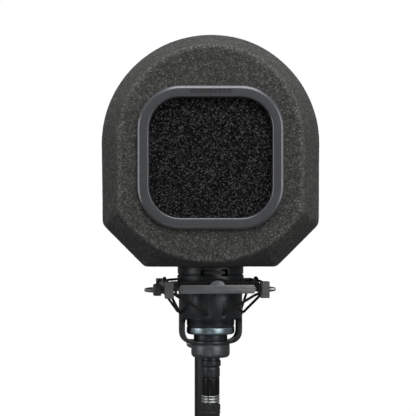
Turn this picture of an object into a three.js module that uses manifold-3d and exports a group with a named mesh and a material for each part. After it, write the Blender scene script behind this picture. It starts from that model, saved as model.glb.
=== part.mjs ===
// Microphone isolation shield on its microphone, elastic shock mount and stand stem.
//
// Frame: millimetres, +Z up, origin at the centre of the stem's lower end, where a stand screws in.
// The singer stands on the -Y side, and the pop filter faces -Y.
// The shield is square to the row. The shock mount is turned by YAW about the microphone's axis.
import * as THREE from "three";
import { mergeVertices } from "three/addons/utils/BufferGeometryUtils.js";
import Module from "manifold-3d";

const wasm = await Module();
wasm.setup();

// ---------------------------------------------------------------- driving dimensions
const YAW = THREE.MathUtils.degToRad(7.5); // the mount's turn about the microphone's axis
const SETBACK = 50; // stem axis behind the microphone's axis
const GAP = 0.3; // clearance between faces that rest on each other

// foam shield, measured from the microphone's axis in X and Y, and from the stem's end in Z
const FOAM_FRONT = -100,
  FOAM_BACK = 90,
  FOAM_SHOULDER_FRONT = -60,
  FOAM_SHOULDER_BACK = 50;
const FOAM_HALF_W = 103.2,
  FOAM_TOP = 390.4,
  FOAM_BOTTOM = 170.2,
  FOAM_SPRING_Z = 287.2; // where the round top meets the sides
const FOAM_CORNER = [102.7, 210.6],
  FOAM_FOOT = [62.6, 170.2];
const FACE_HALF_W = 85.2,
  FACE_TOP = 374.2,
  FACE_BOTTOM = 174.9,
  FACE_BOTTOM_R = 100.3;
const FOAM_CENTRE_Z = 275; // every outline is star-shaped about this height
const CHAMBER_W = 122,
  CHAMBER_H = 120,
  CHAMBER_R = 33,
  CHAMBER_BACK = 38;
const MIC_HOLE_R = 25.5;

// pop filter
const POP_Z = 270.5;
const BEZEL_W = 133.6,
  BEZEL_H = 131,
  BEZEL_R = 39.5,
  BEZEL_BORDER = 11,
  BEZEL_FRONT = -104.6,
  BEZEL_BACK = -100.3;

// microphone
const MIC_R = 25,
  MIC_TRIM_R = 23.9,
  MIC_NECK_R = 16.8,
  MIC_STUB_R = 15.5;
const MIC_TOP = 306,
  MIC_HEAD_Z = 247,
  MIC_BODY_Z = 118.6,
  MIC_TRIM_TOP = 109.3,
  MIC_TRIM_BOTTOM = 102.3,
  MIC_SEAT = 96,
  MIC_STUB_BOTTOM = 80.5;

// basket of the shock mount
const CUP_R = 31.7,
  CUP_IN_R = 28,
  CUP_RIM_R = 32.9,
  CUP_TOP = FOAM_BOTTOM - GAP,
  WINDOW_TOP = 118.7,
  WINDOW_BOTTOM = 95.9,
  LEG_HALF_W = 9;
const CORD_HOLE_Z = 124,
  CORD_HOLE_R = 1.8,
  CORD_HOLE_TURN = THREE.MathUtils.degToRad(16.3);
const COLLAR_R = 19.3,
  COLLAR_TOP = 92.3,
  COLLAR_BOTTOM = 79.2;

// outer ring of the shock mount: four bars and four corner blocks
const RING_X = 46.1,
  RING_Y = 49,
  BLOCK = 8.6,
  BLOCK_BOTTOM = 140.1,
  BLOCK_TOP = 156.1,
  BAR_BOTTOM = 144.5,
  BAR_TOP = 153,
  BAR_T = 4.4,
  TONGUE_BOTTOM = 147.1,
  TONGUE_TOP = 150.4;
const LUG_HALF = 6.7,
  LUG_RISE = 4.1,
  LUG_FLANGE = 0.7, // each cheek of the lug, either side of the cord's groove
  GROOVE_HALF = 6,
  GROOVE_RISE = 3.3;
const STUD_Z = 146.3,
  STUD_R = 6.1,
  STUD_END = 57.4,
  TIP_END = 66.3;
const CORD_D = 2.6;

// swivel and stem
const PIVOT_Z = 88,
  TONGUE_HALF = 4,
  EAR_INNER = 4.35,
  EAR_OUTER = 9.4,
  EAR_R = 9,
  STEM_R = 10,
  STEM_TOP = 77.5,
  THREAD_R = 8,
  THREAD_DEPTH = 18;

const SEG = 28;

// ---------------------------------------------------------------- helpers
const V = (x, y, z) => new THREE.Vector3(x, y, z);

/** A geometry's position data as a closed manifold solid. */
function solid(geometry) {
  let g = geometry.index ? geometry.toNonIndexed() : geometry.clone();
  g = new THREE.BufferGeometry().setAttribute(
    "position",
    g.getAttribute("position"),
  );
  g = mergeVertices(g, 1e-4);
  const tri = [];
  const idx = g.index.array;
  for (let i = 0; i < idx.length; i += 3) {
    const [a, b, c] = [idx[i], idx[i + 1], idx[i + 2]];
    if (a !== b && b !== c && a !== c) tri.push(a, b, c);
  }
  const make = (t) =>
    new wasm.Manifold(
      new wasm.Mesh({
        numProp: 3,
        vertProperties: new Float32Array(g.attributes.position.array),
        triVerts: new Uint32Array(t),
      }),
    );
  let m = make(tri);
  if (m.volume() < 0) {
    for (let i = 0; i < tri.length; i += 3)
      [tri[i + 1], tri[i + 2]] = [tri[i + 2], tri[i + 1]];
    m = make(tri);
  }
  return m;
}

/** A manifold solid as a BufferGeometry. */
function geometryOf(m) {
  const mesh = m.getMesh(),
    n = mesh.numProp;
  const v = new Float32Array(mesh.numVert * 3);
  for (let i = 0; i < mesh.numVert; i++)
    for (let k = 0; k < 3; k++) v[3 * i + k] = mesh.vertProperties[i * n + k];
  const g = new THREE.BufferGeometry()
    .setAttribute("position", new THREE.BufferAttribute(v, 3))
    .setIndex(new THREE.BufferAttribute(new Uint32Array(mesh.triVerts), 1));
  g.computeVertexNormals();
  return g;
}

/** Turned solid about Z from [radius, z] pairs. */
function turned(profile, segments = SEG) {
  const g = new THREE.LatheGeometry(
    profile.map(([r, z]) => new THREE.Vector2(r, z)),
    segments,
  );
  g.rotateX(Math.PI / 2);
  return solid(g);
}

/** A turned tube: the profile is closed on itself. */
const ringTurned = (profile, segments = SEG) =>
  turned([...profile, profile[0]], segments);

function block(x0, x1, y0, y1, z0, z1) {
  const g = new THREE.BoxGeometry(x1 - x0, y1 - y0, z1 - z0);
  g.translate((x0 + x1) / 2, (y0 + y1) / 2, (z0 + z1) / 2);
  return solid(g);
}

/** A rod from a to b. */
function rod(a, b, r0, r1 = r0, segments = 16) {
  const d = b.clone().sub(a);
  const g = new THREE.CylinderGeometry(r1, r0, d.length(), segments);
  g.applyQuaternion(
    new THREE.Quaternion().setFromUnitVectors(V(0, 1, 0), d.normalize()),
  );
  const c = a.clone().add(b).multiplyScalar(0.5);
  g.translate(c.x, c.y, c.z);
  return solid(g);
}

/** A shape in X and Z, pushed along Y from y0 to y1. */
function plateXZ(shape, y0, y1, curve = 6) {
  const g = new THREE.ExtrudeGeometry(shape, {
    depth: y1 - y0,
    bevelEnabled: false,
    curveSegments: curve,
  });
  g.rotateX(Math.PI / 2); // shape Y becomes Z, depth goes towards -Y
  g.translate(0, y1, 0);
  return solid(g);
}

/** A shape in Y and Z, pushed along X from x0 to x1. */
function plateYZ(shape, x0, x1, curve = 6) {
  const g = new THREE.ExtrudeGeometry(shape, {
    depth: x1 - x0,
    bevelEnabled: false,
    curveSegments: curve,
  });
  g.applyMatrix4(
    new THREE.Matrix4().makeBasis(V(0, 1, 0), V(0, 0, 1), V(1, 0, 0)),
  );
  g.translate(x0, 0, 0);
  return solid(g);
}

function roundedRect(w, h, r, cx = 0, cy = 0) {
  const s = new THREE.Shape();
  const [x0, x1, y0, y1] = [cx - w / 2, cx + w / 2, cy - h / 2, cy + h / 2];
  s.moveTo(x0 + r, y0);
  s.lineTo(x1 - r, y0);
  s.absarc(x1 - r, y0 + r, r, -Math.PI / 2, 0, false);
  s.lineTo(x1, y1 - r);
  s.absarc(x1 - r, y1 - r, r, 0, Math.PI / 2, false);
  s.lineTo(x0 + r, y1);
  s.absarc(x0 + r, y1 - r, r, Math.PI / 2, Math.PI, false);
  s.lineTo(x0, y0 + r);
  s.absarc(x0 + r, y0 + r, r, Math.PI, Math.PI * 1.5, false);
  return s;
}

/** The outline of a rounded rectangle, inset, with the same number of points whatever the inset. */
function rectLoop(w, h, r, inset, y, perCorner = 5) {
  const out = [];
  const R = Math.max(r - inset, 0.5),
    hw = w / 2 - inset,
    hh = h / 2 - inset;
  for (let q = 0; q < 4; q++) {
    const cx = (q === 0 || q === 3 ? 1 : -1) * (hw - R),
      cz = (q < 2 ? 1 : -1) * (hh - R);
    for (let i = 0; i <= perCorner; i++) {
      const a = ((q + i / perCorner) * Math.PI) / 2;
      out.push(V(cx + R * Math.cos(a), y, POP_Z + cz + R * Math.sin(a)));
    }
  }
  return out;
}

/** Skin over loops of equal length. Closed end to end (a ring), or capped by fans about each end loop's centre. */
function skin(loops, closed, centres) {
  const n = loops[0].length,
    pos = [],
    idx = [];
  loops.forEach((l) => l.forEach((p) => pos.push(p.x, p.y, p.z)));
  const rows = closed ? loops.length : loops.length - 1;
  for (let i = 0; i < rows; i++)
    for (let j = 0; j < n; j++) {
      const a = i * n + j,
        b = i * n + ((j + 1) % n),
        c = ((i + 1) % loops.length) * n + j,
        d = ((i + 1) % loops.length) * n + ((j + 1) % n);
      idx.push(a, b, d, a, d, c);
    }
  if (!closed) {
    const first = pos.length / 3;
    pos.push(centres[0].x, centres[0].y, centres[0].z);
    pos.push(centres[1].x, centres[1].y, centres[1].z);
    for (let j = 0; j < n; j++) {
      idx.push(first, (j + 1) % n, j);
      const base = (loops.length - 1) * n;
      idx.push(first + 1, base + j, base + ((j + 1) % n));
    }
  }
  const g = new THREE.BufferGeometry()
    .setAttribute(
      "position",
      new THREE.BufferAttribute(new Float32Array(pos), 3),
    )
    .setIndex(idx);
  return solid(g);
}

const paint = (color, roughness, metalness = 0) =>
  new THREE.MeshStandardMaterial({ color, roughness, metalness });
const FOAM = paint(0x3a3936, 0.95);
const SCREEN = paint(0x141515, 0.95);
const BEZEL = paint(0x3b3d41, 0.42);
const BLACK = paint(0x1d1e20, 0.5);
const SATIN = paint(0x2b2d30, 0.45, 0.3);
const STEEL = paint(0x8f9698, 0.25, 1);
const TRIM = paint(0x5c7480, 0.22, 1);
const CORD = paint(0x17181a, 0.85);
const BRASS = paint(0xa58547, 0.35, 1);
const FELT = paint(0x1a1a1b, 0.95);
const BOARD = paint(0x1f4a33, 0.6);
const RUBBER = paint(0x1b1c1d, 0.8);
const GRILLE = paint(0x55585b, 0.35, 0.9);

function part(group, name, manifold, material) {
  const m = new THREE.Mesh(geometryOf(manifold), material);
  m.name = name;
  group.add(m);
  return m;
}

// ---------------------------------------------------------------- the groups
const root = new THREE.Group();
const micX = SETBACK * Math.sin(YAW),
  micY = -SETBACK * Math.cos(YAW);
const shieldGroup = new THREE.Group(); // square to the row, on the microphone's axis
shieldGroup.position.set(micX, micY, 0);
const mountGroup = new THREE.Group(); // turned by YAW, on the same axis
mountGroup.position.set(micX, micY, 0);
mountGroup.rotation.z = YAW;
root.add(shieldGroup, mountGroup);

// ---------------------------------------------------------------- foam shield
function bodyShape() {
  const s = new THREE.Shape();
  s.moveTo(-FOAM_FOOT[0], FOAM_FOOT[1]);
  s.lineTo(FOAM_FOOT[0], FOAM_FOOT[1]);
  s.lineTo(FOAM_CORNER[0], FOAM_CORNER[1]);
  s.lineTo(FOAM_HALF_W, FOAM_SPRING_Z);
  s.absarc(0, FOAM_SPRING_Z, FOAM_HALF_W, 0, Math.PI, false);
  s.lineTo(-FOAM_CORNER[0], FOAM_CORNER[1]);
  s.closePath();
  return s;
}
function faceShape() {
  const s = new THREE.Shape();
  const topZ = FACE_TOP - FACE_HALF_W,
    cz = FACE_BOTTOM + FACE_BOTTOM_R;
  const a = Math.asin(FACE_HALF_W / FACE_BOTTOM_R);
  s.absarc(0, topZ, FACE_HALF_W, 0, Math.PI, false);
  s.absarc(
    0,
    cz,
    FACE_BOTTOM_R,
    -Math.PI / 2 - a,
    -Math.PI / 2 + a,
    false,
  );
  s.closePath();
  return s;
}
/** Distance from (0, FOAM_CENTRE_Z) to a polygon along angle t. */
function reach(points, t) {
  const dx = Math.cos(t),
    dz = Math.sin(t);
  let best = 0;
  points.forEach((p, i) => {
    const q = points[(i + 1) % points.length];
    const ex = q.x - p.x,
      ez = q.y - p.y,
      px = p.x,
      pz = p.y - FOAM_CENTRE_Z;
    const det = dx * -ez + ex * dz;
    if (Math.abs(det) < 1e-9) return;
    const r = (px * -ez + ex * pz) / det,
      u = (dx * pz - dz * px) / det;
    if (u >= -1e-6 && u <= 1 + 1e-6 && r > best) best = r;
  });
  return best;
}
const bodyPts = bodyShape().getPoints(40),
  facePts = faceShape().getPoints(40);
const corners = [
  Math.atan2(FOAM_CORNER[1] - FOAM_CENTRE_Z, FOAM_CORNER[0]),
  Math.atan2(FOAM_FOOT[1] - FOAM_CENTRE_Z, FOAM_FOOT[0]),
];
let angles = Array.from({ length: 60 }, (_, i) => (i * Math.PI * 2) / 60);
for (const c of [
  ...corners,
  ...corners.map((c) => Math.PI - c),
]) {
  const t = (c + Math.PI * 2) % (Math.PI * 2);
  angles = angles.filter(
    (a) => Math.abs(a - t) > 0.035 && Math.abs(a - t) < Math.PI * 2 - 0.035,
  );
  angles.push(t);
}
angles.sort((a, b) => a - b);
const foamLoop = (pts, shrink, y) =>
  angles.map((t) => {
    const r = reach(pts, t) - shrink;
    return V(r * Math.cos(t), y, FOAM_CENTRE_Z + r * Math.sin(t));
  });
let foam = skin(
  [
    foamLoop(facePts, 3, FOAM_FRONT),
    foamLoop(facePts, 0, FOAM_FRONT + 3),
    foamLoop(bodyPts, 0, FOAM_SHOULDER_FRONT),
    foamLoop(bodyPts, 0, FOAM_SHOULDER_BACK),
    foamLoop(facePts, 2, FOAM_BACK - 4),
    foamLoop(facePts, 8, FOAM_BACK),
  ],
  false,
  [V(0, FOAM_FRONT, FOAM_CENTRE_Z), V(0, FOAM_BACK, FOAM_CENTRE_Z)],
);
foam = foam.subtract(
  plateXZ(
    roundedRect(CHAMBER_W, CHAMBER_H, CHAMBER_R, 0, POP_Z),
    FOAM_FRONT - 5,
    CHAMBER_BACK,
  ),
);
foam = foam.subtract(rod(V(0, 0, 150), V(0, 0, 240), MIC_HOLE_R, MIC_HOLE_R, 32));
part(shieldGroup, "foam_shield", foam, FOAM);

// ---------------------------------------------------------------- pop filter
const bz = (inset, y) => rectLoop(BEZEL_W, BEZEL_H, BEZEL_R, inset, y);
const B = BEZEL_BORDER;
part(
  shieldGroup,
  "pop_filter_bezel",
  skin(
    [
      bz(0.6, BEZEL_BACK),
      bz(0, BEZEL_BACK - 1.2),
      bz(0, BEZEL_FRONT + 1.4),
      bz(1.2, BEZEL_FRONT),
      bz(B - 1.2, BEZEL_FRONT + 0.3),
      bz(B, BEZEL_FRONT + 1.4),
      bz(B, BEZEL_BACK + 3.4),
      bz(B - 3.9 + 2.2, BEZEL_BACK + 3.4),
      bz(B - 1.7, BEZEL_BACK + 14),
      bz(B - 3.9, BEZEL_BACK + 14),
      bz(B - 3.9, BEZEL_BACK),
    ],
    true,
  ),
  BEZEL,
);
const screenInset = B - 1.7 + GAP;
const pane = (y0, y1) =>
  skin([bz(screenInset, y0), bz(screenInset, y1)], false, [
    V(0, y0, POP_Z),
    V(0, y1, POP_Z),
  ]);
part(
  shieldGroup,
  "pop_filter_screen",
  pane(BEZEL_BACK + 3.4 + GAP, BEZEL_BACK + 9.4),
  SCREEN,
);
part(
  shieldGroup,
  "pop_filter_mesh",
  pane(BEZEL_BACK + 9.7, BEZEL_BACK + 10.6),
  GRILLE,
);
part(
  shieldGroup,
  "pop_filter_retaining_ring",
  skin(
    [
      bz(screenInset, BEZEL_BACK + 10.9),
      bz(screenInset, BEZEL_BACK + 14.3),
      bz(B - 3.9, BEZEL_BACK + 14.3),
      bz(B - 3.9, BEZEL_BACK + 16.3),
      bz(screenInset + 6, BEZEL_BACK + 16.3),
      bz(screenInset + 6, BEZEL_BACK + 10.9),
    ],
    true,
  ),
  BLACK,
);

// ---------------------------------------------------------------- microphone
part(
  mountGroup,
  "mic_body_tube",
  ringTurned([
    [MIC_R, MIC_BODY_Z],
    [MIC_R, MIC_HEAD_Z - 5.3],
    [MIC_R - 2, MIC_HEAD_Z - 5.3],
    [MIC_R - 2, MIC_BODY_Z],
  ]),
  SATIN,
);
part(
  mountGroup,
  "mic_head_ring",
  ringTurned([
    [MIC_R, MIC_HEAD_Z - 5],
    [MIC_R + 0.4, MIC_HEAD_Z - 4.4],
    [MIC_R + 0.4, MIC_HEAD_Z - 0.9],
    [MIC_R, MIC_HEAD_Z - GAP],
    [11, MIC_HEAD_Z - GAP],
    [11, MIC_HEAD_Z - 5],
  ]),
  SATIN,
);
part(
  mountGroup,
  "mic_head_grille",
  turned([
    [MIC_R - 1.6, MIC_HEAD_Z],
    [MIC_R, MIC_HEAD_Z],
    [MIC_R, MIC_TOP - 16],
    [MIC_R - 1.7, MIC_TOP - 9],
    [MIC_R - 7, MIC_TOP - 3],
    [MIC_R - 15, MIC_TOP - 0.4],
    [0, MIC_TOP],
    [0, MIC_TOP - 1.6],
    [MIC_R - 15.3, MIC_TOP - 2],
    [MIC_R - 8, MIC_TOP - 4.6],
    [MIC_R - 3.2, MIC_TOP - 10],
    [MIC_R - 1.6, MIC_TOP - 16.4],
    [MIC_R - 1.6, MIC_HEAD_Z],
  ]),
  GRILLE,
);
// the capsule's saddle stands in the head ring, and the capsule on it
const saddle = turned([
  [0, MIC_HEAD_Z - 4.6],
  [10.6, MIC_HEAD_Z - 4.6],
  [10.6, MIC_HEAD_Z + 2],
  [3, MIC_HEAD_Z + 4],
  [3, MIC_HEAD_Z + 11],
  [0, MIC_HEAD_Z + 11],
], 20);
part(mountGroup, "capsule_saddle", saddle, BLACK);
part(
  mountGroup,
  "condenser_capsule",
  rod(V(0, -5, MIC_HEAD_Z + 28.6), V(0, 5, MIC_HEAD_Z + 28.6), 17, 17, 28),
  BRASS,
);
part(
  mountGroup,
  "circuit_board",
  block(-17, 17, -0.8, 0.8, MIC_BODY_Z + 6, MIC_HEAD_Z - 8),
  BOARD,
);
part(
  mountGroup,
  "mic_base_ring",
  ringTurned([
    [12, MIC_TRIM_TOP + GAP],
    [MIC_TRIM_R - 0.4, MIC_TRIM_TOP + GAP],
    [MIC_TRIM_R - 0.4, MIC_TRIM_TOP + 2.4],
    [MIC_TRIM_R, MIC_TRIM_TOP + 3],
    [MIC_TRIM_R, MIC_BODY_Z - 3],
    [MIC_R - 0.2, MIC_BODY_Z - 1.6],
    [MIC_R - 0.2, MIC_BODY_Z - GAP],
    [12, MIC_BODY_Z - GAP],
  ]),
  SATIN,
);
part(
  mountGroup,
  "mic_trim_ring",
  ringTurned([
    [MIC_NECK_R - 3, MIC_TRIM_BOTTOM],
    [MIC_TRIM_R - 1.2, MIC_TRIM_BOTTOM],
    [MIC_TRIM_R, MIC_TRIM_BOTTOM + 1.2],
    [MIC_TRIM_R, MIC_TRIM_TOP],
    [MIC_NECK_R - 3, MIC_TRIM_TOP],
  ]),
  TRIM,
);
part(
  mountGroup,
  "mic_threaded_neck",
  ringTurned([
    [10.9, MIC_STUB_BOTTOM],
    [MIC_STUB_R, MIC_STUB_BOTTOM],
    [MIC_STUB_R, MIC_SEAT],
    [MIC_NECK_R, MIC_SEAT],
    [MIC_NECK_R, MIC_TRIM_BOTTOM - GAP],
    [10.9, MIC_TRIM_BOTTOM - GAP],
  ]),
  BLACK,
);
const PINS = [90, 210, 330].map((d) => {
  const a = THREE.MathUtils.degToRad(d);
  return [4.6 * Math.cos(a), 4.6 * Math.sin(a)];
});
let insert = rod(V(0, 0, 96.8), V(0, 0, 101.6), 10.6, 10.6, 24);
for (const [x, y] of PINS)
  insert = insert.add(rod(V(x, y, 84.8), V(x, y, 97.4), 1.15, 1.15, 8));
part(mountGroup, "xlr_pin_insert", insert, BRASS);

// ---------------------------------------------------------------- basket
let basket = ringTurned(
  [
    [CUP_IN_R, CUP_TOP],
    [CUP_RIM_R - 0.5, CUP_TOP],
    [CUP_RIM_R, CUP_TOP - 0.5],
    [CUP_RIM_R, 162.8],
    [32.2, 162.2],
    [32.2, 161.2],
    [33.2, 160.6],
    [33.2, 156.6],
    [CUP_R, 141],
    [CUP_R, 104.4],
    [30.6, 99.6],
    [27.2, 95],
    [22.6, 92.9],
    [COLLAR_R, 92.6],
    [16, 92.6],
    [16, 95.6],
    [COLLAR_R + 0.4, 95.6],
    [23.4, 96.6],
    [26.6, 99.8],
    [CUP_IN_R, 104.4],
  ],
  36,
);
const windowShape = new THREE.Shape();
windowShape.moveTo(-40, WINDOW_BOTTOM - 8);
windowShape.lineTo(40, WINDOW_BOTTOM - 8);
windowShape.lineTo(40, WINDOW_TOP - 4);
windowShape.lineTo(24.5, WINDOW_TOP);
windowShape.lineTo(-24.5, WINDOW_TOP);
windowShape.lineTo(-40, WINDOW_TOP - 4);
windowShape.closePath();
const seatKeep = rod(
  V(0, 0, 90),
  V(0, 0, 97.5),
  COLLAR_R + 0.2,
  COLLAR_R + 0.2,
  32,
);
for (const [y0, y1] of [
  [-40, -LEG_HALF_W],
  [LEG_HALF_W, 40],
])
  basket = basket.subtract(
    plateXZ(windowShape, y0, y1).subtract(seatKeep),
  );
basket = basket.subtract(block(-13.4, 13.4, -40, -20, 160.4, 167.2));
const SIDES = [0, 1, 2, 3].map((k) => (k * Math.PI) / 2); // front, right, rear, left
for (const side of SIDES)
  for (const s of [-1, 1]) {
    const a = side + s * CORD_HOLE_TURN;
    const dir = V(Math.sin(a), -Math.cos(a), 0);
    basket = basket.subtract(
      rod(
        dir.clone().multiplyScalar(24).setZ(CORD_HOLE_Z),
        dir.clone().multiplyScalar(38).setZ(CORD_HOLE_Z),
        CORD_HOLE_R,
        CORD_HOLE_R,
        10,
      ),
    );
  }
part(mountGroup, "basket_cup", basket, SATIN);
part(
  mountGroup,
  "basket_felt_liner",
  ringTurned([
    [MIC_R + 0.3, 146],
    [CUP_IN_R - 0.3, 146],
    [CUP_IN_R - 0.3, 159.6],
    [MIC_R + 0.3, 159.6],
  ]),
  FELT,
);
part(
  mountGroup,
  "mic_pad_switch",
  block(-10.6, 10.6, -27.6, -25.3, 162.2, 165.6),
  BLACK,
);
part(
  mountGroup,
  "lock_collar",
  ringTurned(
    [
      [MIC_STUB_R + 0.5, COLLAR_BOTTOM],
      [COLLAR_R - 2, COLLAR_BOTTOM],
      [COLLAR_R, COLLAR_BOTTOM + 2.2],
      [COLLAR_R, COLLAR_TOP - 0.6],
      [COLLAR_R - 0.6, COLLAR_TOP],
      [MIC_STUB_R + 0.5, COLLAR_TOP],
    ],
    32,
  ),
  SATIN,
);

// ---------------------------------------------------------------- outer ring of the mount
/** A bar along X at the front, tapered to a thin tongue at each end, with a grooved half-round lug at its middle that the cord passes over. */
function ringBar(half, offset, turn) {
  const end = half - BLOCK / 2 - 0.2,
    bodyEnd = end - 4.7;
  const y0 = -offset - BAR_T / 2,
    y1 = -offset + BAR_T / 2;
  const s = new THREE.Shape();
  s.moveTo(-end, TONGUE_BOTTOM);
  s.lineTo(-bodyEnd, TONGUE_BOTTOM);
  s.lineTo(-bodyEnd + 1.6, BAR_BOTTOM);
  s.lineTo(bodyEnd - 1.6, BAR_BOTTOM);
  s.lineTo(bodyEnd, TONGUE_BOTTOM);
  s.lineTo(end, TONGUE_BOTTOM);
  s.lineTo(end, TONGUE_TOP);
  s.lineTo(bodyEnd, TONGUE_TOP);
  s.lineTo(bodyEnd - 1.8, BAR_TOP);
  s.lineTo(-bodyEnd + 1.8, BAR_TOP);
  s.lineTo(-bodyEnd, TONGUE_TOP);
  s.lineTo(-end, TONGUE_TOP);
  s.closePath();
  const hump = (w, rise) => {
    const h = new THREE.Shape();
    h.moveTo(-w, BAR_TOP - 1);
    h.lineTo(w, BAR_TOP - 1);
    h.absellipse(0, BAR_TOP, w, rise, 0, Math.PI, false, 0);
    h.closePath();
    return h;
  };
  const m = plateXZ(s, y0, y1)
    .add(plateXZ(hump(LUG_HALF, LUG_RISE), y0, y0 + LUG_FLANGE, 8))
    .add(plateXZ(hump(LUG_HALF, LUG_RISE), y1 - LUG_FLANGE, y1, 8))
    .add(plateXZ(hump(GROOVE_HALF, GROOVE_RISE), y0 + 0.3, y1 - 0.3, 8));
  const g = geometryOf(m);
  g.rotateZ(turn);
  return solid(g);
}
part(mountGroup, "ring_bar_front", ringBar(RING_X, RING_Y, SIDES[0]), SATIN);
part(mountGroup, "ring_bar_right", ringBar(RING_Y, RING_X, SIDES[1]), SATIN);
part(mountGroup, "ring_bar_rear", ringBar(RING_X, RING_Y, SIDES[2]), SATIN);
part(mountGroup, "ring_bar_left", ringBar(RING_Y, RING_X, SIDES[3]), SATIN);

const chamfered = new THREE.Shape();
const hb = BLOCK / 2,
  cb = 1.2;
chamfered.moveTo(-hb + cb, -hb);
chamfered.lineTo(hb - cb, -hb);
chamfered.lineTo(hb, -hb + cb);
chamfered.lineTo(hb, hb - cb);
chamfered.lineTo(hb - cb, hb);
chamfered.lineTo(-hb + cb, hb);
chamfered.lineTo(-hb, hb - cb);
chamfered.lineTo(-hb, -hb + cb);
chamfered.closePath();
for (const [where, sx, sy] of [
  ["front_left", -1, -1],
  ["front_right", 1, -1],
  ["rear_right", 1, 1],
  ["rear_left", -1, 1],
]) {
  const g = new THREE.ExtrudeGeometry(chamfered, {
    depth: BLOCK_TOP - BLOCK_BOTTOM,
    bevelEnabled: false,
  });
  g.translate(sx * RING_X, sy * RING_Y, BLOCK_BOTTOM);
  part(mountGroup, "corner_block_" + where, solid(g), SATIN);
}

// a turned stud with a tapered nickel tip, at the middle of the left and right bars
for (const [side, sx] of [
  ["left", -1],
  ["right", 1],
]) {
  const at = (x) => V(sx * x, 0, STUD_Z);
  const inner = RING_X + BAR_T / 2 + GAP;
  part(
    mountGroup,
    "side_stud_" + side,
    rod(at(inner), at(inner + 1.2), 4.2, 4.2, 20)
      .add(rod(at(inner + 1), at(STUD_END - 1), STUD_R, STUD_R, 20))
      .add(rod(at(STUD_END - 1.2), at(STUD_END), STUD_R, STUD_R - 1, 20)),
    SATIN,
  );
  part(
    mountGroup,
    "stud_tip_" + side,
    rod(at(STUD_END + GAP), at(STUD_END + 3), 2.7, 2.6, 12).add(
      rod(at(STUD_END + 2.8), at(TIP_END), 2.6, 1.5, 12),
    ),
    STEEL,
  );
}

// elastic cord: one length to each side, from a hole in the basket round the bar's tongue, along the bar, over its lug, and down again the same way
function cordSide(half, offset, turn, name) {
  const wrap = half - BLOCK / 2 - 1.6; // across, between the bar's end and the corner block
  const a = CORD_HOLE_TURN;
  const h = (r, z) => V(-r * Math.sin(a), -r * Math.cos(a), z);
  const o = offset;
  const foot = h(33.5, CORD_HOLE_Z + 0.5),
    knee = V(-(wrap - 3.6), -(o - 2.4), BAR_BOTTOM - 1.9);
  const left = [
    h(29, CORD_HOLE_Z),
    h(31.2, CORD_HOLE_Z),
    foot,
    foot.clone().lerp(knee, 0.12),
    foot.clone().lerp(knee, 0.5),
    foot.clone().lerp(knee, 0.88),
    knee,
    V(-(wrap - 0.6), -(o + 0.4), BAR_BOTTOM - 0.3),
    V(-wrap, -(o + 3.4), BAR_BOTTOM + 0.9),
    V(-wrap, -(o + 4), BAR_TOP - 4.3),
    V(-wrap, -(o + 3.2), BAR_TOP - 0.7),
    V(-(wrap - 1.4), -(o + 0.6), BAR_TOP + 1.1),
    V(-(wrap - 5), -o, BAR_TOP + 1.65),
    V(-22, -o, BAR_TOP + 2.3),
    V(-12, -o, BAR_TOP + 2.3),
    V(-9.4, -o, BAR_TOP + 2.6),
    V(-6.6, -o, BAR_TOP + 4),
    V(-3.4, -o, BAR_TOP + 4.9),
    V(0, -o, BAR_TOP + 5.1),
  ];
  const right = left
    .slice(0, -1)
    .reverse()
    .map((p) => V(-p.x, p.y, p.z));
  const curve = new THREE.CatmullRomCurve3(
    [...left, ...right],
    false,
    "centripetal",
  );
  const oct = new THREE.Shape();
  for (let i = 0; i < 8; i++) {
    const t = ((i + 0.5) * Math.PI) / 4,
      r = CORD_D / 2;
    if (i) oct.lineTo(r * Math.cos(t), r * Math.sin(t));
    else oct.moveTo(r * Math.cos(t), r * Math.sin(t));
  }
  oct.closePath();
  const g = new THREE.ExtrudeGeometry(oct, {
    steps: 36,
    bevelEnabled: false,
    extrudePath: curve,
  });
  g.rotateZ(turn);
  part(mountGroup, name, solid(g), CORD);
}
cordSide(RING_X, RING_Y, SIDES[0], "elastic_cord_front");
cordSide(RING_Y, RING_X, SIDES[1], "elastic_cord_right");
cordSide(RING_X, RING_Y, SIDES[2], "elastic_cord_rear");
cordSide(RING_Y, RING_X, SIDES[3], "elastic_cord_left");

// ---------------------------------------------------------------- swivel
const ear = new THREE.Shape();
ear.absarc(SETBACK, PIVOT_Z, EAR_R, Math.PI, 0, false);
ear.lineTo(SETBACK + EAR_R, PIVOT_Z + 12);
ear.lineTo(SETBACK + 6.6, PIVOT_Z + 20);
ear.lineTo(SETBACK + 1.6, PIVOT_Z + 20);
ear.lineTo(SETBACK - EAR_R, PIVOT_Z + 11);
ear.closePath();
let bracket = plateYZ(ear, -EAR_OUTER, EAR_OUTER, 10);
bracket = bracket.subtract(
  block(-EAR_INNER, EAR_INNER, SETBACK - 20, SETBACK + 20, 60, PIVOT_Z + 10.2),
);
bracket = bracket.add(
  block(
    -11,
    11,
    SETBACK + 1.6,
    SETBACK + 6.6,
    PIVOT_Z + 12.5,
    BAR_TOP - 0.6,
  ),
);
bracket = bracket.subtract(
  rod(
    V(-30, SETBACK, PIVOT_Z),
    V(30, SETBACK, PIVOT_Z),
    3.3,
    3.3,
    16,
  ),
);
part(mountGroup, "swivel_bracket", bracket, SATIN);
for (const [side, x] of [
  ["left", -6.5],
  ["right", 6.5],
])
  part(
    mountGroup,
    "bracket_screw_" + side,
    rod(
      V(x, SETBACK + 6.6 + GAP, 147.9),
      V(x, SETBACK + 9.4, 147.9),
      2.8,
      2.2,
      10,
    ),
    STEEL,
  );

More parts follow.
